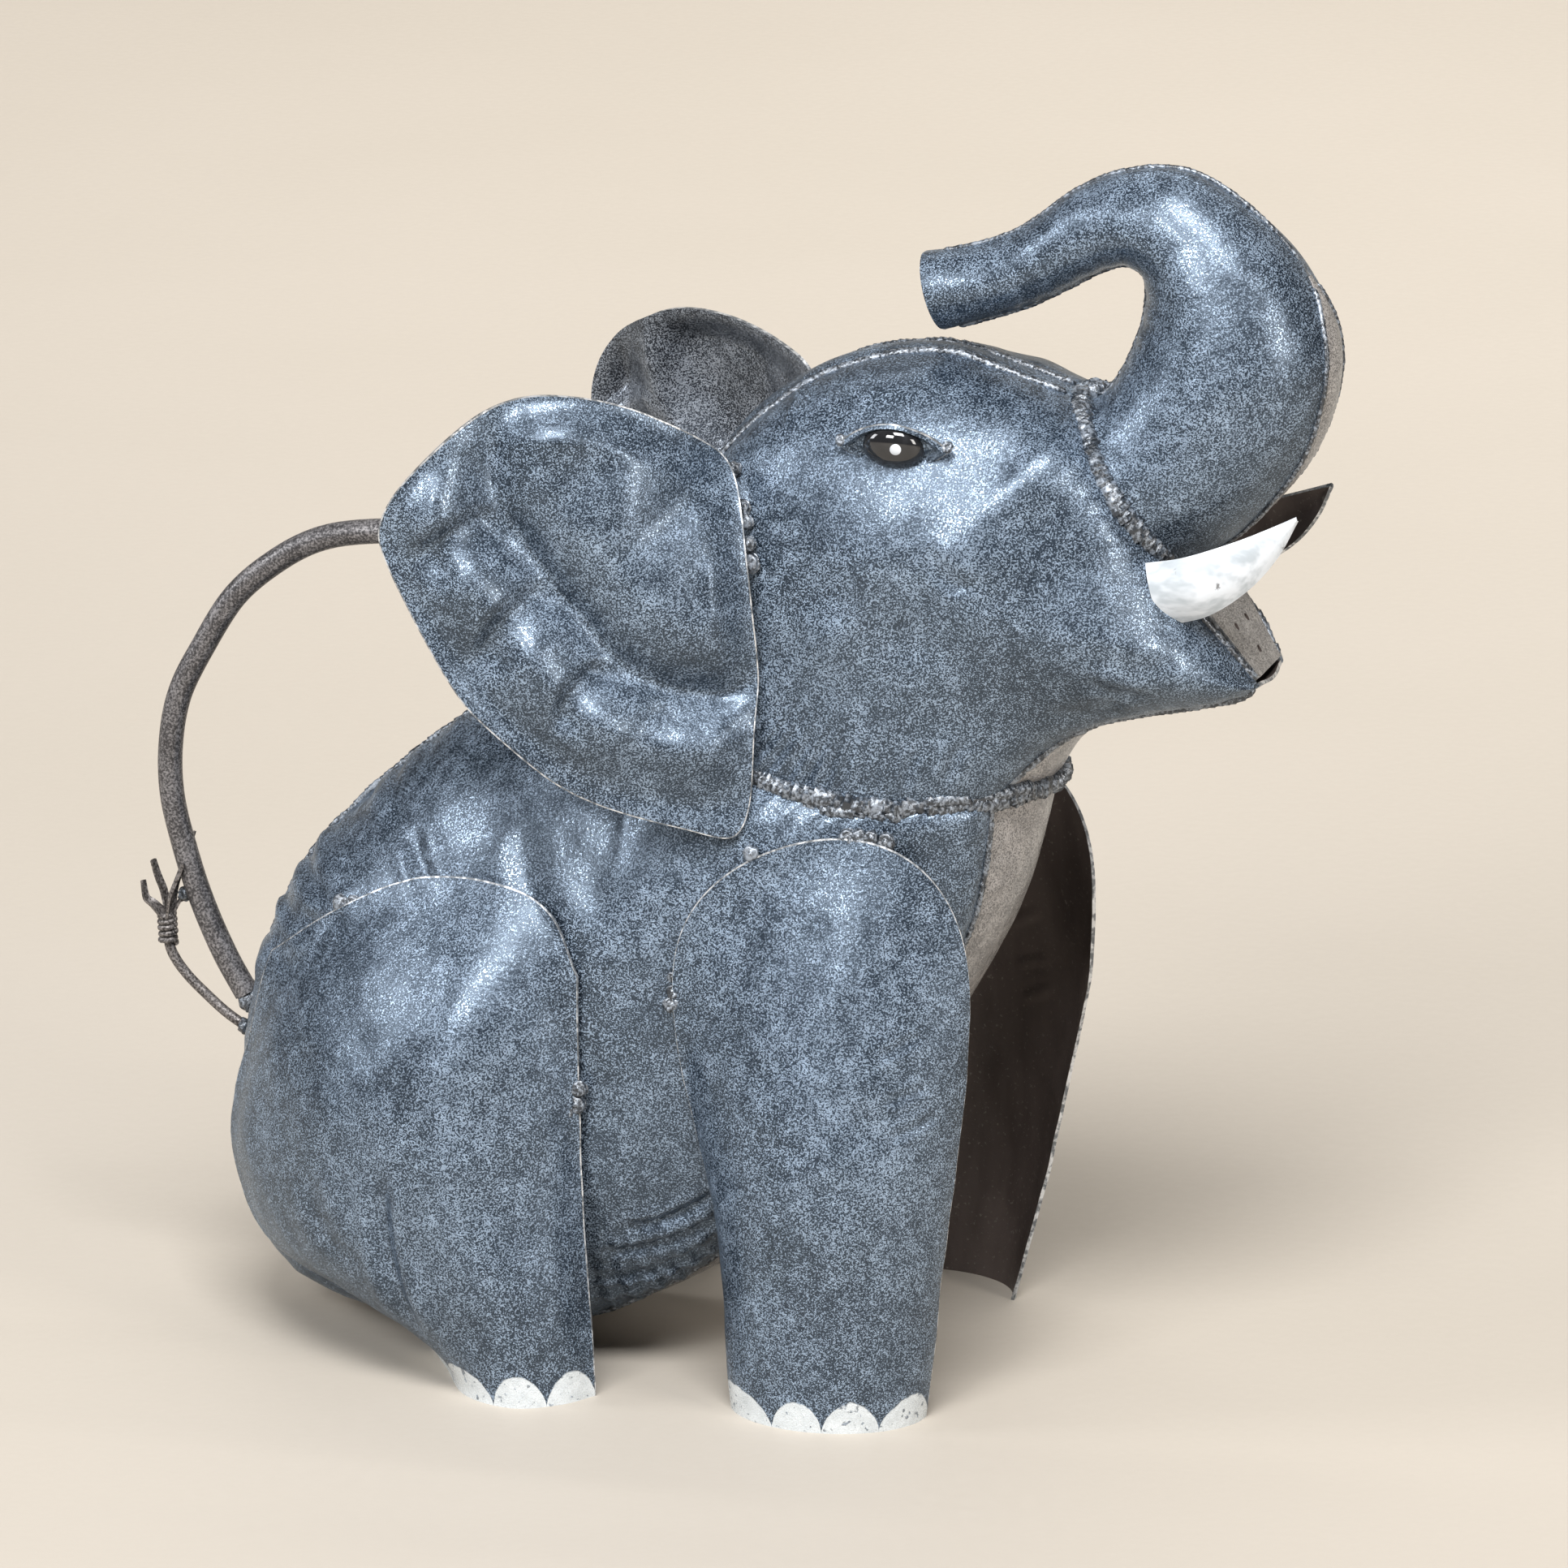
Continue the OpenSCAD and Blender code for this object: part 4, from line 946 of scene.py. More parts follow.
def ear(side):
    mirror = side == "right"
    n, m = 420, 110
    t = np.arange(n) / n
    knots = EAR_RIM if mirror else LEFT_RIM + EAR_RIM[12:]
    rim = loop_curve(knots, t)[::-1]
    wave = np.fft.rfft(rim, axis=0)
    rim = np.fft.irfft(wave * np.exp(-((np.arange(len(wave)) / 15.0) ** 2))[:, None], n, axis=0)
    r = np.linspace(0.004, 1, m)[:, None]
    g = np.empty((m, n, 3))
    g[..., 0] = EAR_C[0] + r * (rim[None, :, 0] - EAR_C[0])
    g[..., 2] = EAR_C[1] + r * (rim[None, :, 2] - EAR_C[1])
    off = rim[:, 1] - ear_plane(rim[:, 0], rim[:, 2])
    base = ear_plane(g[..., 0], g[..., 2]) + off[None] * r**3
    g[..., 1] = base
    q = g[..., [0, 2]]
    d, sgn, along = dist_to(curve(EAR_CREASE, np.linspace(0, 1, 120)), q)
    s = d * sgn
    d = np.sqrt(d**2 + 1.2) - 1.0
    inside = np.where(s > 0, d, 0)
    outside = np.where(s < 0, d, 0)
    # the middle swells to a dome; the flared rim climbs to a ridge and rolls back
    dome = 13.0 * np.sin(np.pi / 2 * np.clip(inside / 21, 0, 1)) - 6.0 * smooth((inside - 24) / 30)
    flare = 8.4 * np.sin(np.pi / 2 * np.clip(outside / 12, 0, 1)) - 10.5 * smooth((outside - 10) / 22)
    h = np.where(s > 0, dome, flare) - 2.0
    h += 1.4 * np.exp(-(((q[..., 0] + 20) / 7) ** 2 + ((q[..., 1] - 255) / 16) ** 2))
    h -= 1.2 * np.exp(-(((q[..., 0] + 31) / 7) ** 2 + ((q[..., 1] - 260) / 9) ** 2))
    for a, b, w, dp in EAR_FOLDS:
        a = np.array(a, float)
        run = np.array(b, float) - a
        ln = np.linalg.norm(run)
        u = ((q - a) @ run) / ln**2
        e = (run[0] * (q - a)[..., 1] - run[1] * (q - a)[..., 0]) / ln + 1.6 * np.sin(np.pi * u)
        step = np.where(e < 0, gauss(e, w), gauss(e, 3.2 * w))
        h -= 1.9 * dp * step * smooth(u * 5) * smooth((1 - u) * 3) * (u > 0) * (u < 1)
    edge = smooth((1 - r) * 5)
    h = h * (0.30 + 0.70 * edge)
    h += 0.5 * noise(g, 17, 41 if mirror else 61) * edge + 0.16 * noise(g, 7, 43)
    g[..., 1] = base + h
    ob = sheet(f"vis_{side}_ear", g, (PAINT, BACK, EDGE), wrap=True, mirror=mirror, lip=EAR_BURR)
    hand_in(ob, "graphite_paint", f"{side}_ear")


# ------------------------------------------------------------------ eyes and tusks

EYE_AT = np.array([45, 39.6, 264.5])
EYE_TILT = math.radians(-27)


def eye_frame(p):
    """Points in the eye plate's own plane (z outwards) to the part, as the CAD places them."""
    a = EYE_TILT - math.pi / 2
    c, s = math.cos(a), math.sin(a)
    x, y, z = p[..., 0], p[..., 1], p[..., 2]
    return np.stack([x, y * c - z * s, y * s + z * c], axis=-1) + EYE_AT


PLATE_X, PLATE_Y = 15.5, 8.0
DOME_X, DOME_Y, DOME_H = 8.4, 6.6, 4.6
DOT_X, DOT_Y, DOT_R = 1.8, -2.6, 1.5


def eye(side):
    mirror = side == "right"

    def piece(name, x, y, z, mats, th, lip=0):
        g = eye_frame(np.stack([x, y, z + 0 * x], axis=-1))
        return sheet(f"vis_{side}_eye_{name}", g, mats, wrap=True, mirror=mirror, th=th, lip=lip)

    # the almond plate, with a rolled rim and a groove inside it
    t = 2 * np.pi * np.arange(160)[None] / 160
    r = np.linspace(0.01, 1, 26)[:, None]
    u = np.cos(t)
    x, y = PLATE_X * r * u, PLATE_Y * r * (np.sign(np.sin(t)) * (1 - u**2))
    z = 1.0 + 0.5 * (1 - r**2) + 0.9 * gauss(r - 0.88, 0.07) - 0.6 * gauss(r - 0.70, 0.07)
    z = z + 0.15 * noise(np.stack([x, y, x * 0], axis=-1), 5, 3)
    ob = piece("plate", x, y, z, (PAINT, INSIDE, EDGE), 0.9, BURR)
    hand_in(ob, "graphite_paint", f"{side}_eye_plate")
    t = 2 * np.pi * np.arange(72)[None] / 72
    r = np.sin(np.linspace(0.01, np.pi / 2, 26))[:, None]
    x, y = DOME_X * r * np.cos(t), DOME_Y * r * np.sin(t)
    z = 1.0 + DOME_H * np.sqrt(np.maximum(0, 1 - r**2))
    hand_in(piece("dome", x, y, z, (EYE, EYE, EYE), 0.4), "eye_enamel", f"{side}_eye_dome")
    # painted catch-light: a thin round of enamel on the dome
    t = 2 * np.pi * np.arange(40)[None] / 40
    r = np.linspace(0.02, 1, 8)[:, None]
    x, y = DOT_X + DOT_R * r * np.cos(t), DOT_Y + DOT_R * r * np.sin(t)
    z = 1.0 + DOME_H * np.sqrt(1 - (x / DOME_X) ** 2 - (y / DOME_Y) ** 2)
    z = z + 0.14 * np.sqrt(1 - 0.96 * r**2)
    hand_in(piece("dot", x, y, z, (ENAMEL, ENAMEL, ENAMEL), 0.12), "tusk_enamel")


TUSK_TOP = [(110.5, 29, 234.5), (121, 30.5, 237), (133, 28, 241), (142, 24, 244.5),
    (149, 20, 247.5)]
TUSK_LOW = [(116, 28, 217.5), (128, 29, 221.5), (138, 26.5, 228.5), (145, 23, 237),
    (149.6, 20, 246.4)]


def tusk(side):
    mirror = side == "right"
    m, n = 90, 40
    t = np.linspace(0, 1, m)
    a, b = curve(TUSK_TOP, t), curve(TUSK_LOW, t)
    s = np.linspace(0, 1, n)[None]
    g = a[:, None] + (b - a)[:, None] * s[..., None]
    g[..., 1] += 4 * (1 - 0.8 * t)[:, None] * 4 * s * (1 - s)
    g[..., 1] += 0.25 * noise(g, 11, 9) * smooth((1 - t) * 6)[:, None]
    ob = sheet(f"vis_{side}_tusk", g, (ENAMEL, INSIDE, EDGE), mirror=mirror)
    hand_in(ob, "tusk_enamel", f"{side}_tusk")


# ------------------------------------------------------------------ legs

# rear x, front x, rear edge y, middle y and front edge y, from the floor up
LEG = [(4, 58, 52, 73, 51), (2.5, 60.5, 52, 75, 51), (1, 62.5, 53, 76, 52),
    (-1.5, 64.7, 55, 74, 52), (-4.8, 66.8, 57, 69.5, 52), (-8.8, 68.6, 57.5, 61.5, 51.5),
    (-10.9, 69.4, 57.3, 53.3, 50.5)]
LEFT_LEAN = 8
LEG_SIDE, LEG_TOP = 122 * 0.93, 159.5
LEG_NAILS = [-1, -0.25, 0.09, 0.47, 1]
# pleats as from, to, width and depth, and for the hind leg curl
LEG_PLEATS = [((62, 96), (50, 92), 1.2, 0.5), ((64, 88), (52, 82), 1.3, 0.5),
    ((60, 110), (48, 104), 1.4, 0.4)]
HIND_PLEATS = [((-86, 66), (-78, 14), 3.0, 2.0, 5), ((-112, 60), (-100, 34), 4.0, 0.8, 3)]
# the hind leg's outline seen from above at six heights, front to back
HIND = np.array([
    [(-32.3, 60), (-39, 70), (-51, 76.5), (-66.5, 69.5), (-78.5, 49), (-90, 30)],
    [(-34.3, 59.5), (-43, 71.5), (-60, 79.5), (-89, 72), (-113, 55), (-131, 34)],
    [(-35.8, 58.7), (-47.5, 71), (-70, 79.5), (-103.5, 69.5), (-131, 49), (-148.5, 22)],
    [(-36.6, 58.3), (-49, 69.5), (-71.5, 77.5), (-102, 68.5), (-129, 48.5), (-148.5, 23)],
    [(-37, 58), (-48, 64.5), (-68, 69), (-97, 60.5), (-122, 45), (-142, 25)],
    [(-37.4, 57.2), (-46.5, 54.2), (-64, 50.3), (-88, 43.8), (-113, 34.8), (-136, 19)]], float)
HIND_TOP = [(117,), (133.5,), (139.5,), (136.8,), (124,), (107,)]
HIND_NAILS = [0, 0.262, 0.47, 0.70, 0.95]
NAIL = 8.8
# least distance of a leg sheet's outside from the body, mm
CLEAR = 2.4


def floored(base, h):
    """The inner skin ends on the floor too."""
    h = h.copy()
    h[0, :, 2] = 0.0
    return h


class Height:
    """How far the finished body panel stands out at each (x, z), for the sheets tacked on to it."""

    X0, Z0, CELL, NX, NZ = -160.0, -5.0, 1.5, 175, 140

    def __init__(self, g):
        h = np.full((self.NX, self.NZ), -1.0)
        i = ((g[..., 0] - self.X0) / self.CELL).astype(int).ravel()
        k = ((g[..., 2] - self.Z0) / self.CELL).astype(int).ravel()
        ok = (i >= 0) & (i < self.NX) & (k >= 0) & (k < self.NZ)
        np.maximum.at(h, (i[ok], k[ok]), g[..., 1].ravel()[ok])
        for _ in range(4):
            h = np.where(h < 0, np.max(self.around(h), axis=0), h)
        h = np.maximum(h, 0)
        for _ in range(2):
            a, b, c, d = self.around(h)
            h = (h * 2 + a + b + c + d) / 6
        self.h = h

    @staticmethod
    def around(h):
        return [np.roll(h, step, axis) for axis in (0, 1) for step in (1, -1)]

    def __call__(self, x, z):
        u = np.clip((x - self.X0) / self.CELL - 0.5, 0, self.NX - 1.001)
        v = np.clip((z - self.Z0) / self.CELL - 0.5, 0, self.NZ - 1.001)
        i, k = u.astype(int), v.astype(int)
        a, b = u - i, v - k
        low = self.h[i, k] * (1 - a) + self.h[i + 1, k] * a
        high = self.h[i, k + 1] * (1 - a) + self.h[i + 1, k + 1] * a
        return low * (1 - b) + high * b


def outside_of(g, height, gap):
    """Pushes a sheet out until it clears the body by gap, with a soft corner where it lifts off."""
    low = height(g[..., 0], g[..., 2]) + gap
    d = g[..., 1] - low
    g = g.copy()
    g[..., 1] = low + 0.5 * (d + np.sqrt(d**2 + 2.0))
    return g


def leg_sheet(side, name, g, lift, pleats, nails):
    """A leg from its smooth grid, the height of its dents, its pleats, and where its nails fall."""
    for fold in pleats:
        lift += pleat(g[..., [0, 2]], *fold)
    uv = np.empty(g.shape[:2] + (2,))
    uv[..., 0] = nails[None]
    uv[..., 1] = g[..., 2] / NAIL
    out = g + grid_normals(g) * lift[..., None]
    out[0, :, 2] = 0.0
    mats, mirror = (FOOT, INSIDE, EDGE), side == "right"
    ob = sheet(f"vis_{side}_{name}", out, mats, uv=uv, mirror=mirror, keep_inner=floored, lip=BURR)
    hand_in(ob, "graphite_paint", f"{side}_{name}")


def front_leg(side):
    mirror = side == "right"
    m, n = 150, 120
    t = np.linspace(0, 1, m)
    q = curve(LEG, t)
    s = np.linspace(1, -1, n)[None]
    c = np.cos(np.pi / 2 * s)
    z = LEG_SIDE + (LEG_TOP - LEG_SIDE) * np.maximum(c, 0) ** 0.75 + 3 * np.sin(np.pi * s)
    lean = 0 if mirror else LEFT_LEAN
    g = np.empty((m, n, 3))
    k = 0.5 + 0.5 * np.sin(np.pi / 2 * s)
    shift = lean * (1.4 * np.sin(np.pi / 2 * t) - 0.4)[:, None]
    g[..., 0] = q[:, :1] + (q[:, 1:2] - q[:, :1]) * k + shift
    side_y = q[:, 2:3] + (q[:, 4:5] - q[:, 2:3]) * k
    g[..., 1] = side_y + (q[:, 3:4] - side_y) * c
    g[..., 2] = t[:, None] * z
    g = outside_of(g, BODY[side], CLEAR)[:, ::-1]
    seed = 101 if mirror else 131
    lift = dents(g, seed, 0.85, 0.28) * smooth(t * 10)[:, None] * smooth((1 - t) * 4)[:, None]
    leg_sheet(side, "front_leg", g, lift, LEG_PLEATS, np.interp(s[0, ::-1], LEG_NAILS, range(5)))


def hind_leg(side):
    m, n = 150, 170
    t = np.linspace(0, 1, m)
    s = np.linspace(0, 1, n)
    rows = np.stack([curve(r, s) for r in HIND])
    # the foot stands straight up before the haunch swells out over it
    plan = curve(rows, t - 0.06 * (1 - np.exp(-t / 0.06)) * (1 - t) ** 3)
    g = np.empty((m, n, 3))
    g[..., :2] = plan
    g[..., 2] = t[:, None] * curve(HIND_TOP, s)[:, 0][None]
    g = outside_of(g, BODY[side], CLEAR)[:, ::-1]
    seed = 151 if side == "right" else 181
    lift = dents(g, seed, 0.85, 0.26) * (smooth(t * 10) * smooth((1 - t) * 4))[:, None]
    leg_sheet(side, "hind_leg", g, lift, HIND_PLEATS, np.interp(s[::-1], HIND_NAILS, range(5)))


# ------------------------------------------------------------------ handle and tail

HANDLE_PATH = [(-26, 0, 212), (-45, 0, 218), (-68, 0, 221.2), (-92, 0, 221.8), (-114, 0, 220.6),
    (-129, 0, 217.4), (-142, 0, 210.2), (-154, 0, 199.6), (-163.7, 0, 184.2), (-170.2, 0, 171),
    (-173, 0, 157), (-173, 0, 142), (-169.8, 0, 127), (-165, 0, 112), (-158.8, 0, 98),
    (-152.2, 0, 86.5)]
TAIL_PATH = [(-153, 0, 77), (-158.5, 0, 80.6), (-163.8, 0, 85), (-168.8, 0, 89.6),
    (-172.8, 0, 94.6), (-174.7, 0, 99.5), (-175.3, 0, 109)]


TUBE_R, BORE_R, TUBE_SEAM = 3.42, 2.3, 4.25
# bent strips of the tuft: knots and width
TUFT = [
    ([(-175.7, 1.2, 107), (-177, 2.2, 113), (-178.6, 2, 117.5), (-179.6, 1, 122.2)], 3.2),
    ([(-175.4, -1.2, 107), (-178, -3, 110.6), (-180.2, -3.4, 112.6), (-181.2, -3, 117.3)], 3.4),
    ([(-175, 2.2, 107), (-174.4, 3.6, 113.5), (-172.4, 3.8, 119.5), (-169.8, 3, 125.6),
      (-167.8, 2.2, 130.8)], 3.2),
    ([(-174.4, -2.0, 107), (-173.2, -3.4, 113), (-171, -3.6, 118.6), (-168.8, -4.2, 123.4)], 2.4),
    ([(-174, 0.4, 107), (-172, 0.8, 111), (-169.9, 0.4, 112.5)], 2.8)]


def band(a, b, o):
    """Faces between the edge a-b of one skin and the same edge of the skin o further on."""
    return np.stack([a, b, b + o, a + o], axis=1)


def handle():
    m, n = 420, 40
    path = respace(curve(HANDLE_PATH, np.linspace(0, 1, 900)), m)
    sway = [noise(path, 40, 1), noise(path, 30, 2) * 0.6, noise(path, 40, 3)]
    path = path + 0.25 * np.stack(sway, axis=1)
    ang = 2 * np.pi * np.arange(n) / n
    # rolled tube: an open seam along the side and slight flats
    seam = (ang - TUBE_SEAM + np.pi) % (2 * np.pi) - np.pi
    r = TUBE_R - 0.62 * gauss(seam, 0.13) + 0.12 * gauss(np.abs(seam) - 0.34, 0.15)
    r = r[None] + 0.05 * line_noise(arc(path), 9, 5)[:, None]
    outer, inner = tube_points(path, r, n), tube_points(path, np.full((m, n), BORE_R), n)
    o, last, j = m * n, (m - 1) * n, np.arange(n)
    k = (j + 1) % n
    faces = [tube_faces(m, n, 0, False), tube_faces(m, n, o, False)[:, ::-1],
        band(j, k, o)[:, ::-1], band(last + j, last + k, o)]
    verts = np.concatenate([outer.reshape(-1, 3), inner.reshape(-1, 3)])
    hand_in(make_mesh("vis_handle_tube", verts, faces, [HANDLE]), "handle_paint", "handle_tube")


def tail():
    p = Parts()
    path = respace(curve(TAIL_PATH, np.linspace(0, 1, 300)), 90)
    s = arc(path)
    p.tube(path, (1.45 + 0.06 * line_noise(s, 5, 4))[:, None], 18)
    hand_in(p.build("vis_tail_rod", [TAIL]), "tail_steel", "tail_rod")
    # wound binding
    p = Parts()
    turns, m = 5.4, 260
    t = np.linspace(0, 1, m)
    base = np.stack([-174.75 - 0.1 * t * 5, 0 * t, 99.0 + 9.2 * t], axis=1)
    a = 2 * np.pi * turns * t
    rad = 2.05 + 0.25 * line_noise(t * 30, 3, 6)
    path = base + np.stack([rad * np.cos(a), rad * np.sin(a), 0.4 * line_noise(t * 40, 4, 8)], axis=1)
    p.tube(path, 0.85, 10)
    hand_in(p.build("vis_tail_binding", [TAIL]), "tail_steel", "tail_binding")
    p = Parts()
    for k, (knots, w) in enumerate(TUFT):
        m, n = 44, 9
        t = np.linspace(0, 1, m)
        c = curve(knots, t)
        tan = unit(np.gradient(c, axis=0))
        twist = 0.5 * np.sin(3 * t + k)
        side = unit(np.stack([0.35 * np.sin(k + 2 * t), np.cos(twist), 0.3 * np.sin(twist)], axis=1))
        side = unit(side - (side * tan).sum(1, keepdims=True) * tan)
        nrm = np.cross(tan, side)
        v = np.linspace(-1, 1, n)
        wid = w / 2 * (1 - 0.35 * t) * (1 + 0.08 * line_noise(t * 20, 3, 40 + k))
        arch = nrm[:, None] * (0.45 * (1 - v**2))[None, :, None]
        top = c[:, None] + side[:, None] * (wid[:, None] * v[None])[..., None] + arch
        low = top - 0.65 * nrm[:, None]
        o, last = m * n, (m - 1) * n
        i, j = np.arange(m - 1) * n, np.arange(n - 1)
        f = [quads(m, n, 0, False, False), quads(m, n, o, False, True),
            band(i, i + n, o)[:, ::-1], band(i + n - 1, i + 2 * n - 1, o),
            band(j, j + 1, o), band(last + j, last + j + 1, o)[:, ::-1]]
        p.add(np.concatenate([top.reshape(-1, 3), low.reshape(-1, 3)]), f)
    hand_in(p.build("vis_tail_tuft", [TAIL], sharp=40), "tail_steel", "tail_tuft")


# ------------------------------------------------------------------ welds


def bead(parts, path, r, pitch, closed=False, seed=0, wander=0.35):
    """Weld bead: overlapping crescents, each slightly its own size."""
    length = arc(path, closed)[-1]
    m = max(12, int(length / 0.42))
    q = respace(np.concatenate([path, path[:1]]) if closed else path, m + 1 if closed else m)
    if closed:
        q = q[:-1]
    s = arc(q)
    n = 16
    drift = [line_noise(s, size, seed + k) for k, size in enumerate((7, 6, 7))]
    q = q + wander * np.stack(drift, axis=1)
    ang = 2 * np.pi * np.arange(n) / n
    lat = np.sin(ang)[None]
    jit = 0.5 * line_noise(s, pitch * 1.7, seed + 3)[:, None]
    ph = (s[:, None] + 1.1 * r * lat**2) / pitch + jit
    saw = ph - np.floor(ph)
    step = np.floor(ph).astype(np.int64)
    size = _hash(step, 0 * step + 3, 0 * step + 7, seed + 11)
    rad = r * (0.70 + 0.36 * np.sqrt(np.clip(1 - saw, 0, 1)) + 0.26 * (size - 0.5))
    rad = rad * (1 + 0.12 * line_noise(s, 11, seed + 5)[:, None])
    if not closed:
        end = np.minimum(s, s[-1] - s)
        rad = rad * np.sqrt(np.clip(end / (1.2 * r) + 0.06, 0, 1))[:, None]
    parts.tube(q, rad, n, closed)


def tack(parts, at, r, seed, normal=(0, 1, 0), flat=0.62):
    """A tack: a flattened blob with a ringed crater."""
    nrm = unit(np.array(normal, float))
    u = unit(np.cross(nrm, [0.3, 0.1, 1.0]))
    v = np.cross(nrm, u)
    m, n = 26, 30
    th = np.linspace(0.03, np.pi - 0.03, m)[:, None]
    ph = 2 * np.pi * np.arange(n)[None] / n
    rho = np.sin(th)
    ring = 1 + 0.10 * np.cos(rho * 9.0) * (th < np.pi / 2)
    spot = np.stack([rho * np.cos(ph) * 2, rho * np.sin(ph) * 2, th + 0 * ph], axis=-1)
    k = r * ring * (1 + 0.16 * noise(spot, 1.0, seed))
    pts = np.array(at, float) + (k * rho * np.cos(ph))[..., None] * u
    pts = pts + (k * rho * np.sin(ph))[..., None] * v + (k * np.cos(th) * flat)[..., None] * nrm
    j = np.arange(n)
    f = [tube_faces(m, n, 0, False)[:, ::-1], j[None], ((m - 1) * n + j)[None, ::-1]]
    a, b, c = pts[m // 2, 0], pts[m // 2, 1], pts[m // 2 + 1, 0]
    if np.cross(b - a, c - a) @ (a - np.array(at)) > 0:
        f = [x[:, ::-1] for x in f]
    parts.add(pts, f)


def flip_y(p):
    return np.asarray(p, float) * [1, -1, 1]


def both(parts, path, r, seed, pitch=2.0, **k):
    bead(parts, path, r, pitch, seed=seed, **k)
    bead(parts, flip_y(path), r, pitch, seed=seed + 50, **k)


def weld_piece(parts, node):
    hand_in(parts.build("vis_" + node, [WELD]), "weld_bead", node)


def welds():
    t = np.linspace(0, 1, 500)
    p = Parts()
    ring = neck(360 * t[:-1])
    ring[:, 2] += 0.9 * line_noise(arc(ring), 26, 5)
    bead(p, ring, 3.1, 2.7, True, 3, wander=0.5)
    # second and third runs laid over the near side of the neck
    above = respace(neck(np.linspace(-20, -62, 80)) + [1.2, -0.6, 2.2], 80)
    below = respace(neck(np.linspace(-66, -98, 80)) + [0.2, -1.0, -2.2], 80)
    bead(p, above, 2.0, 2.4, False, 9, wander=0.7)
    bead(p, below, 2.1, 2.4, False, 14, wander=0.7)
    weld_piece(p, "neck_weld")
    p = Parts()
    bead(p, trunk_ring(360 * t[:-1]), 3.2, 2.8, True, 21, wander=0.5)
    weld_piece(p, "trunk_base_weld")
    p = Parts()
    both(p, curve(CROWN_EDGE, 0.03 + 0.94 * t), 1.35, 31)
    weld_piece(p, "crown_welds")
    p = Parts()
    both(p, curve(CHEST_EDGE, 0.015 + 0.93 * t), 1.15, 41)
    weld_piece(p, "chest_welds")
    p = Parts()
    back = np.concatenate([curve(BACK_SEAM, 0.03 + 0.97 * t[:-1]), curve(NAPE_SEAM, 0.075 * t)])
    bead(p, back, 1.25, 2.0, False, 61)
    bead(p, curve(NAPE_SEAM, 0.68 + 0.25 * t), 1.25, 2.0, False, 65)
    weld_piece(p, "back_weld")
    p = Parts()
    both(p, curve(JAW_EDGE, 0.04 + 0.9 * t), 1.3, 71)
    both(p, curve(MOUTH_EDGE, 0.1 + 0.86 * t), 1.25, 75)
    weld_piece(p, "jaw_welds")
    p = Parts()
    for (a, b), kind, r, seed in (((5.1, 11.6), 180, 0.8, 81), ((0.6, 11.6), 0, 0.8, 85)):
        q = curve(TRUNK, (a + (b - a) * t) / 12)
        bead(p, trunk_point(q, np.full((500, 1), float(kind)))[:, 0], r, 1.8, False, seed, wander=0.2)
    q = curve(TRUNK, (0.3 + 4.4 * t) / 12)
    side = trunk_point(q, (180 - np.degrees(np.arcsin(q[:, 5] / q[:, 4])))[:, None])[:, 0]
    both(p, side, 0.85, 91, pitch=1.8, wander=0.2)
    weld_piece(p, "trunk_seam_welds")


# tacks on the left side, each a place and a radius, and the way their crater faces
TACKS = {
    "ear_tacks": ([((-1, 33, 253.2), 2.2), ((3.2, 40, 244.5), 2.6), ((4.8, 42, 241.5), 2.3),
        ((6.4, 44, 236), 2.2), ((6.8, 44.5, 231), 2.8)], (-0.2, 1, 0.1)),
    "front_leg_tacks": ([((10, 55, 154.2), 2.3), ((36.0, 52.5, 160.3), 2.3), ((39.2, 52.4, 160.5), 2.2),
        ((42.4, 52, 160.3), 2.2), ((46.2, 51.5, 159.4), 2.5), ((-11.2, 57.5, 119), 1.5),
        ((-11, 57.6, 115), 2.0), ((-11.4, 57.6, 111.5), 2.4)], (0.1, 1, 0.2)),
    "hind_leg_tacks": ([((-111.5, 36.5, 125.5), 2.7), ((-107.5, 38.5, 127), 1.8),
        ((-37.2, 58.6, 86), 2.6), ((-37.8, 58.8, 81.5), 2.9), ((-40, 60, 79.5), 2.0)], (0.0, 1, 0.2)),
    "eye_tacks": ([((30.6, 40.6, 265.0), 1.7), ((59.6, 40.6, 265.0), 1.7)], (0, 0.85, 0.5)),
    "tusk_tacks": ([((110.8, 28.6, 230), 2.0), ((112.6, 28.4, 225.4), 1.9),
        ((114.6, 28.2, 220.6), 2.2)], (0, 1, 0))}
# where the handle and the tail are fixed: place, radius, facing, flatness
HANDLE_TACKS = [((-24.5, 0, 211.6), 4.4, (-1, 0, 0.1), 0.8),
    ((-151, 0.4, 84.5), 4.0, (-1, 0, 0.4), 0.8), ((-152.8, 1.2, 88.0), 3.0, (-1, 0.3, 0.4), 0.8),
    ((-152.8, 0, 76.8), 2.4, (-1, 0, 0.3), 0.8), ((-169.7, 0.0, 113.6), 2.1, (-1, 0, 0.1), 0.9)]


def tacks():
    for name, (spots, nrm) in TACKS.items():
        p = Parts()
        lean = 0.96 * LEFT_LEAN if name == "front_leg_tacks" else 0
        for k, (at, r) in enumerate(spots):
            tack(p, (at[0] + lean, at[1], at[2]), r, 200 + k, nrm)
            tack(p, flip_y(at), r, 300 + k, flip_y(nrm))
        weld_piece(p, name)
    p = Parts()
    for k, (at, r, nrm, flat) in enumerate(HANDLE_TACKS):
        tack(p, at, r, 5 + k, nrm, flat)
    weld_piece(p, "handle_welds")


# ------------------------------------------------------------------ build

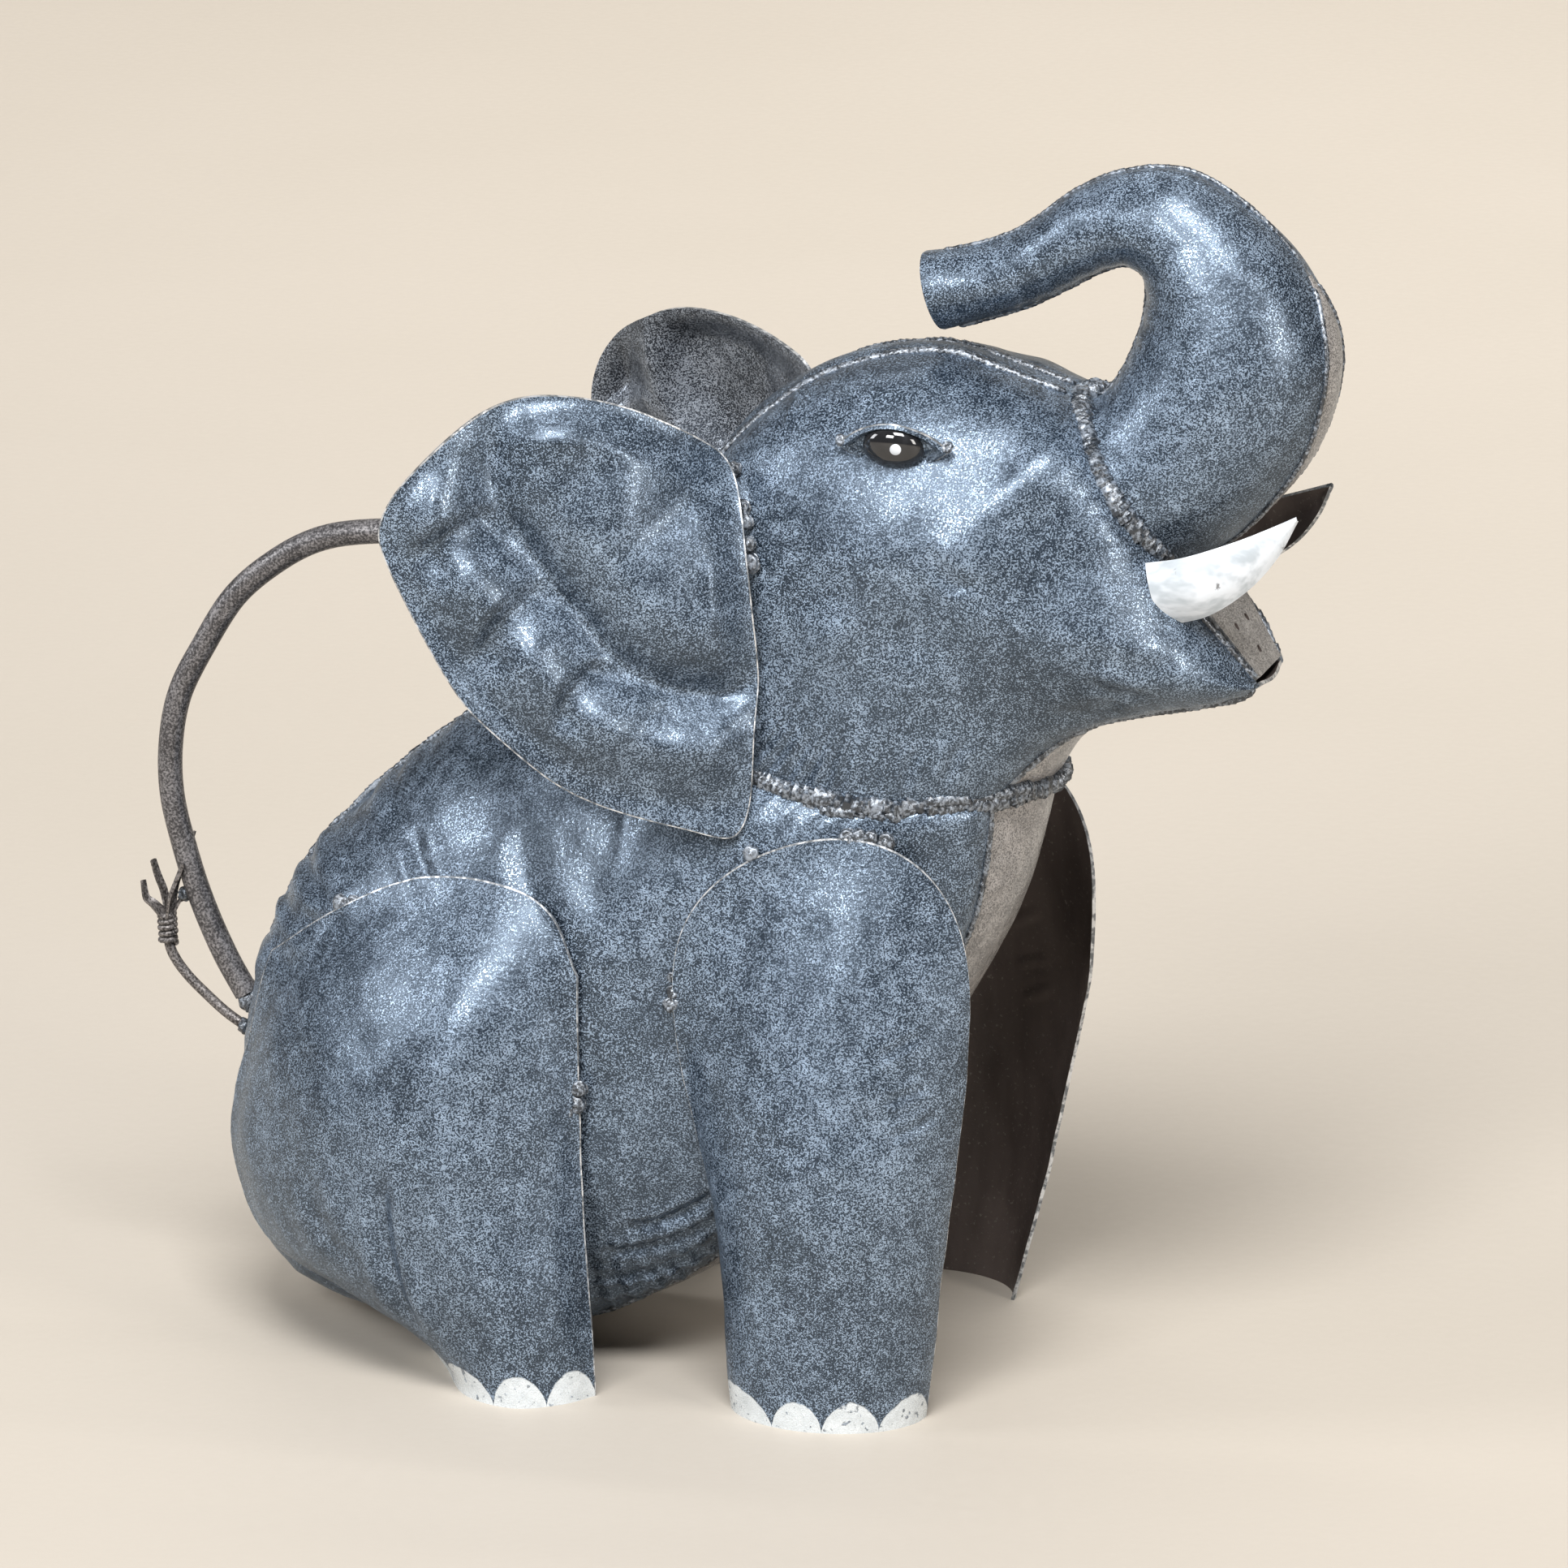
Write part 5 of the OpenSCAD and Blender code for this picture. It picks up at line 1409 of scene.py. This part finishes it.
for side in ("right", "left"):
    body_panel(side)
    head_panel(side)
    trunk_half(side)
    ear(side)
    eye(side)
    tusk(side)
    front_leg(side)
    hind_leg(side)
# the chest and jaw strips take the lighter paint copy, which is painted light
strip("chest_belly_strip", CHEST_EDGE, CHEST_MID, 260, 46, 15, STRIP_PAINTED_LIGHT, 0.5)
strip("crown_strip", CROWN_EDGE, CROWN_MID, 200, 26, 25, PAINT, 0.35)
strip("jaw_strip", JAW_EDGE, JAW_MID, 90, 36, 35, STRIP_PAINTED_LIGHT, 0.35)
trunk_strip()
rose_plate()
handle()
tail()
welds()
tacks()

# ------------------------------------------------------------------ stage


def floor():
    n = Nodes("studio_floor")
    soft = n.noise(3.0, 2, 0.5)
    fine = n.noise(240, 3, 0.6)
    col = n.mixc(n.ramp(soft, 0.3, 0.7), (0.446, 0.400, 0.338), (0.457, 0.410, 0.349))
    mat = n.finish(col, n.ramp(fine, 0.3, 0.7, 0.55, 0.65), 0.0, n.bump(fine, 0.05, 0.0002))
    me = bpy.data.meshes.new("floor")
    # a sweep: level floor that rises into the wall behind
    path = [(-6.0, 0.0), (3.0, 0.0)]
    turn = np.linspace(0.05, math.pi / 2, 24)
    path += [(3.0 + 1.6 * math.sin(a), 1.6 - 1.6 * math.cos(a)) for a in turn]
    path += [(4.6, 7.0)]
    verts = [(x, y, z) for y, z in path for x in (-9, 9)]
    me.from_pydata(verts, [], [(2 * i, 2 * i + 1, 2 * i + 3, 2 * i + 2) for i in range(len(path) - 1)])
    me.polygons.foreach_set("use_smooth", [True] * len(me.polygons))
    me.materials.append(mat)
    ob = bpy.data.objects.new("floor", me)
    bpy.context.scene.collection.objects.link(ob)


floor()


BODY_MIDDLE, WALL_LOW = (0, 0, 0.16), (0, 3.6, 0.9)
# place, aim, size, watts and colour
LIGHTS = {
    "key": ((0.5, -1.6, 2.5), BODY_MIDDLE, (1.3, 1.0), 106, (0.97, 0.98, 1.0)),
    "front": ((-0.5, -2.2, 1.5), BODY_MIDDLE, (0.8, 0.7), 40, (0.97, 0.98, 1.0)),
    "right": ((2.0, -1.0, 0.9), BODY_MIDDLE, (0.6, 1.0), 22, (1.0, 0.96, 0.92)),
    "left": ((-2.2, -0.9, 1.2), BODY_MIDDLE, (0.7, 1.0), 24, (0.95, 0.97, 1.0)),
    "wall": ((0.0, 1.3, 2.6), WALL_LOW, (3.0, 1.4), 138, (1.0, 0.99, 0.98))}
for name, (at, to, size, power, color) in LIGHTS.items():
    light = bpy.data.lights.new(name, "AREA")
    light.shape = "RECTANGLE"
    light.size, light.size_y = size
    light.energy = power
    light.color = color
    lamp = bpy.data.objects.new(name, light)
    lamp.location = at
    lamp.rotation_euler = (Vector(to) - Vector(at)).to_track_quat("-Z", "Y").to_euler()
    bpy.context.scene.collection.objects.link(lamp)

world = bpy.data.worlds.new("studio")
bpy.context.scene.world = world
world.use_nodes = True
sky = world.node_tree.nodes["Background"]
sky.inputs["Color"].default_value = (0.90, 0.93, 0.97, 1)
sky.inputs["Strength"].default_value = 0.13
bpy.context.scene.view_settings.view_transform = "Standard"

# camera: the photograph's angle, long lens
AZ, EL, DIST = math.radians(16.4), math.radians(15.3), 2.637
SENSOR, FRAME_PX, FOCAL_PX = 36, 1932, 12000.0
back = Vector((math.sin(AZ) * math.cos(EL), -math.cos(AZ) * math.cos(EL), math.sin(EL)))
right = Vector((math.cos(AZ), math.sin(AZ), 0))
up = back.cross(right)
target = Vector((SHIFT * MM, 0, 0.160)) + right * 0.0029 - up * 0.0018
cam = bpy.data.cameras.new("camera")
cam.sensor_width = SENSOR
cam.lens = FOCAL_PX / FRAME_PX * SENSOR
cam.clip_end = 50
camera = bpy.data.objects.new("camera", cam)
camera.location = target + back * DIST
camera.rotation_euler = (-back).to_track_quat("-Z", "Y").to_euler()
bpy.context.scene.collection.objects.link(camera)
bpy.context.scene.camera = camera
